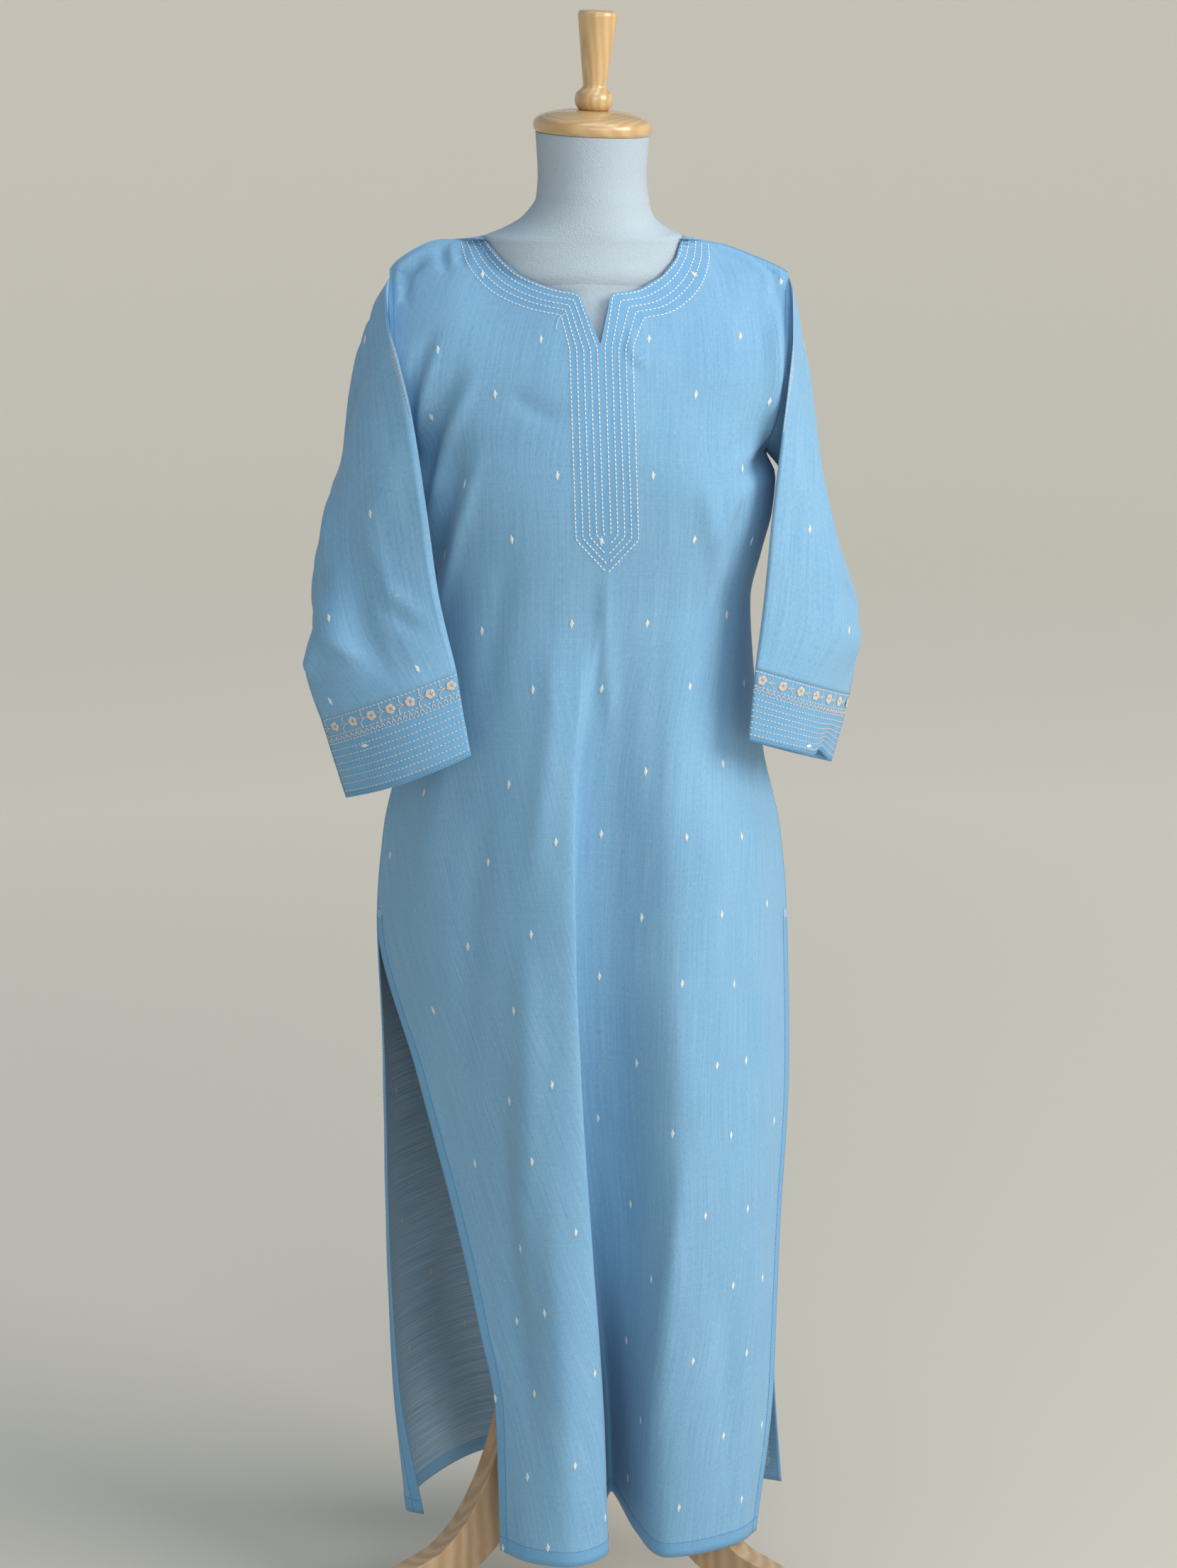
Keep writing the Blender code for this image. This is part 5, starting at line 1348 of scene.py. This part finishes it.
def neck_paths():
    """Rows of stitches round the neck and down the placket, as places seen from the front."""
    paths = []
    for offset, half, tip in zip(NECK_ROWS, PLACKET_HALF, PLACKET_TIP):
        for side, edges in NECK_EDGES.items():
            sign = -1 if side == "left" else 1
            part = offset / NECK_BAND
            neck = (1 - part) * np.array(edges["inner"]) + part * np.array(edges["outer"])
            neck = through(neck, [8] * 4)
            levels = (NOTCH_FOOT, tip + PLACKET_POINT * half)
            heights, centres = zip(*PLACKET_X)
            down = [(np.interp(z, heights, centres) + sign * half, z) for z in levels]
            down.append((np.interp(tip, heights, centres), tip))
            paths.append(np.vstack([neck, down]))
    return paths


def add_neck_stitches(front, trim):
    """The rows of running stitches that the neckline and placket are quilted with."""
    for path in neck_paths():
        stitch_path(trim, *front.front_line(along_path(path, 0.002), STITCH_LIFT), THREAD)


def add_loose_thread(front, trim):
    """A short end of thread left near the notch."""
    places = through(LOOSE_THREAD, [4] * (len(LOOSE_THREAD) - 1))
    trim.chain(*front.front_line(places, 0.0009), LOOSE_STRAND)


def add_motif(cloth, trim, row, column, turned=False, inside=False):
    """A small woven lozenge of slanted bars, on the outer face or on the inner one."""
    middle, normal = cloth.at(row, column, -CLOTH - STITCH_LIFT if inside else STITCH_LIFT)
    normal = -normal if inside else normal
    above, _ = cloth.at(row + 0.5, column)
    up = above - middle
    up -= normal * (up @ normal)
    up /= np.linalg.norm(up)
    if up[2] < 0:
        up = -up
    side = np.cross(up, normal)
    if turned:
        up, side = side, up
    for k, wide in enumerate(MOTIF_BARS):
        centre = middle + up * MOTIF_PITCH * (k - (len(MOTIF_BARS) - 1) / 2)
        reach = side * wide / 2 + up * wide * MOTIF_SLANT
        trim.strand(centre - reach, centre + reach, normal, *MOTIF_STRAND)


def add_front_motifs(front, trim):
    """Motifs in the half-drop columns that show in the photo."""
    for k, xs in MOTIF_COLUMNS.items():
        if k == "z":
            continue
        known = [(z, x) for z, x in zip(MOTIF_COLUMNS["z"], xs) if x is not None]
        heights, places = zip(*known)
        for height in MOTIF_HEIGHTS[k % 2]:
            z = height - MOTIF_SAG.get(k, 0.0)
            if heights[0] - 0.09 < z < heights[-1] + 0.05:
                x = np.interp(z, heights, places)
                add_motif(front, trim, *front.front_spot(x, z))


def add_flat_motifs(cloth, trim, middle, skip, inside=False):
    """Motifs in half-drop columns over a panel, apart from its top rows."""
    wide, tall = MOTIF_REPEAT
    rows = np.arange(len(cloth.grid))
    for k in range(-7, 8):
        for v in np.arange(FIRST_BACK_ROW + 0.5 * tall * (k % 2), LAST_BACK_ROW, tall):
            row = np.interp(v, cloth.along[:, middle], rows)
            lengths = cloth.across[int(row)] - cloth.across[int(row), middle]
            inside_edges = lengths[0] + MOTIF_MARGIN < k * wide < lengths[-1] - MOTIF_MARGIN
            if inside_edges and row < rows[-1] - skip:
                column = np.interp(k * wide, lengths, np.arange(len(lengths)))
                add_motif(cloth, trim, row, column, inside=inside)


def add_tube_motifs(cloth, trim):
    """Motifs in half-drop columns round a sleeve."""
    wide, tall = MOTIF_REPEAT
    for k in range(-3, 4):
        start = FIRST_SLEEVE_ROW - 0.5 * tall * (k % 2)
        for v in np.arange(start, cloth.along.mean(axis=1)[-1] - SLEEVE_MARGINS[1], tall):
            if v > SLEEVE_MARGINS[0]:
                add_motif(cloth, trim, *cloth.tube_spot((k * wide + 0.03) % cloth.girth, v))


def ring_line(cloth, v, count=160):
    """Points and normals round a tube at a length along it."""
    row, column = cloth.tube_spot(np.linspace(0, cloth.girth, count), v)
    return cloth.at(np.full(count, row), column, STITCH_LIFT)


def place_line(cloth, path, steps):
    """Points and normals on a tube along a smooth path of lengths round and along."""
    places = through(path, [steps] * (len(path) - 1))
    row, column = cloth.tube_spot(places[:, 0], places[:, 1])
    return cloth.at(row, column, STITCH_LIFT)


def add_cuff_work(cuff, beige, blue):
    """Rows of stitches, a herringbone and a row of five-petalled flowers joined by tendrils."""
    deep = cuff.along.mean(axis=1)[-1] / CUFF_DEEP
    for v in CUFF_ROWS:
        stitch_path(beige, *ring_line(cuff, v * deep), THREAD)
    for v in CUFF_TOPSTITCH:
        stitch_path(blue, *ring_line(cuff, v * deep), TOPSTITCH)
    count = int(cuff.girth / HERRINGBONE_PITCH) // 2 * 2
    for k in range(count):
        across = np.array([k, k + (0.75 if k % 2 else 1.25)]) * cuff.girth / count
        down = np.array(CUFF_HERRINGBONE if k % 2 else CUFF_HERRINGBONE[::-1]) * deep
        row, column = cuff.tube_spot(across, down)
        ends, normals = cuff.at(row, column, STITCH_LIFT)
        beige.strand(ends[0], ends[1], normals[0], *HERRINGBONE_STRAND)
    flowers = round(cuff.girth / FLOWER_PITCH)
    for k in range(flowers):
        start = (k + 0.35) * cuff.girth / flowers
        add_flower(cuff, beige, start, FLOWER_ROW * deep, 0.4 * k)
        for tendril in TENDRILS:
            path = [(start + a, (FLOWER_ROW + b) * deep) for a, b in tendril]
            beige.chain(*place_line(cuff, path, 3), TENDRIL_STRAND)


def add_flower(cloth, trim, u, v, turn):
    """Five raised petals round a small dimple."""
    row, column = cloth.tube_spot(u, v)
    middle, normal = cloth.at(row, column, STITCH_LIFT)
    below, _ = cloth.at(row + 0.4, column)
    down = below - middle
    down -= normal * (down @ normal)
    down /= np.linalg.norm(down)
    side = np.cross(normal, down)
    for petal in range(5):
        angle = turn + petal * 2 * math.pi / 5
        out = side * math.cos(angle) + down * math.sin(angle)
        wing = np.cross(normal, out)
        for beside, start, end in PETAL:
            line = middle + wing * beside * FLOWER_R
            trim.strand(line + out * start * FLOWER_R, line + out * end * FLOWER_R, normal, *PETAL_STRAND)


def add_topstitching(front, back, blue):
    """Hems and slit hems."""
    for cloth in (front, back):
        rows, columns = cloth.grid.shape[:2]
        hem = np.interp(HEM_DEEP, cloth.along[:, columns // 2], np.arange(rows))
        across = np.linspace(0, columns - 1, 400)
        stitch_path(blue, *cloth.at(np.full(400, hem), across, STITCH_LIFT), TOPSTITCH)
        up = np.linspace(0, np.interp(SLIT_TOP, cloth.base[:, 0, 2], np.arange(rows)), 300)
        for edge in (0, columns - 1):
            places = [cloth.column_inside(edge, row, SLIT_HEM) for row in up]
            stitch_path(blue, *cloth.at(up, places, STITCH_LIFT), TOPSTITCH)


def add_side_stitches(front, blue, tack):
    """Topstitching beside each armhole, and a bar of thread across each edge where its slit starts."""
    levels = np.linspace(1.212, 1.350, 60)
    for line, inward in (("left", 1), ("right", -1)):
        places = zip(curve(levels, BODY["z"], BODY[line]) + inward * ARMHOLE_STITCH_INSET, levels)
        stitch_path(blue, *front.front_line(places, STITCH_LIFT), TOPSTITCH)
    rows, columns = front.grid.shape[:2]
    for edge in (0, columns - 1):
        for k in range(BAR_TACK_ROWS):
            level = SLIT_TOP + BAR_TACK_PITCH * (k - (BAR_TACK_ROWS - 1) / 2)
            row = np.interp(level, front.base[:, edge, 2], np.arange(rows))
            column = front.column_inside(edge, row, (0.0, BAR_TACK))
            ends, normals = front.at(np.full(2, row), column, 2 * STITCH_LIFT)
            tack.strand(ends[0], ends[1], normals[0], *BAR_TACK_STRAND)


def main():
    """Loads the frame, dresses it and finishes the scene."""
    for old in list(bpy.data.objects):
        bpy.data.objects.remove(old, do_unlink=True)
    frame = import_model()
    blue = chambray()
    front, back = build_panels()
    cloths = {"front_panel": front, "back_panel": back}
    for side in ("left", "right"):
        cloths["sleeve_" + side] = build_sleeve(side)
        cloths["cuff_" + side] = build_cuff(side)
    white, ivory, beige, stitched, tack = (Trim() for _ in range(5))
    add_neck_stitches(front, ivory)
    add_loose_thread(front, ivory)
    add_front_motifs(front, white)
    back_middle = FINER * sum(BACK_STEPS[:5])
    add_flat_motifs(back, white, back_middle, BARE_TOP_ROWS)
    add_flat_motifs(back, beige, back_middle, BARE_TOP_ROWS, inside=True)
    for side in ("left", "right"):
        add_tube_motifs(cloths["sleeve_" + side], white)
        add_cuff_work(cloths["cuff_" + side], beige, stitched)
    add_topstitching(front, back, stitched)
    add_side_stitches(front, stitched, tack)
    for side, around, down in CUFF_MOTIFS:
        cuff = cloths["cuff_" + side]
        add_motif(cuff, white, *cuff.tube_spot(around * cuff.girth, down), turned=True)
    for trim, name, tint, roughness in (
        (white, "white_thread", WHITE, 0.8),
        (ivory, "ivory_thread", IVORY, 0.8),
        (beige, "beige_thread", BEIGE, 0.7),
        (stitched, "blue_thread", STITCH_BLUE, 0.8),
        (tack, "pale_blue_thread", TACK_BLUE, 0.8),
    ):
        trim.build(name, plain(name, tint, roughness))
    for node, cloth in cloths.items():
        obj = add_cloth(node + "_cloth", cloth, blue)
        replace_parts(obj, node)
    add_form(plain("form_cover", COVER, 0.9, 650.0, 0.7))
    varnished = wood("varnished_wood", VARNISHED, VARNISHED_DARK, (60, 60, 20), 0.6)
    board = wood("board_wood", BOARD, BOARD_DARK, (20, 90, 30), 0.0)
    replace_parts(add_turned("cap_turned", CAP_PROFILE, varnished), "neck_cap")
    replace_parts(add_turned("handle_turned", HANDLE_PROFILE, varnished), "handle")
    for name, azimuth in LEG_AZIMUTHS.items():
        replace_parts(add_leg(name + "_board", azimuth, board), name)
    for name in ("pole", "stand_hub"):
        frame["nodes"][name].data.materials.clear()
        frame["nodes"][name].data.materials.append(board)
    add_studio()


main()
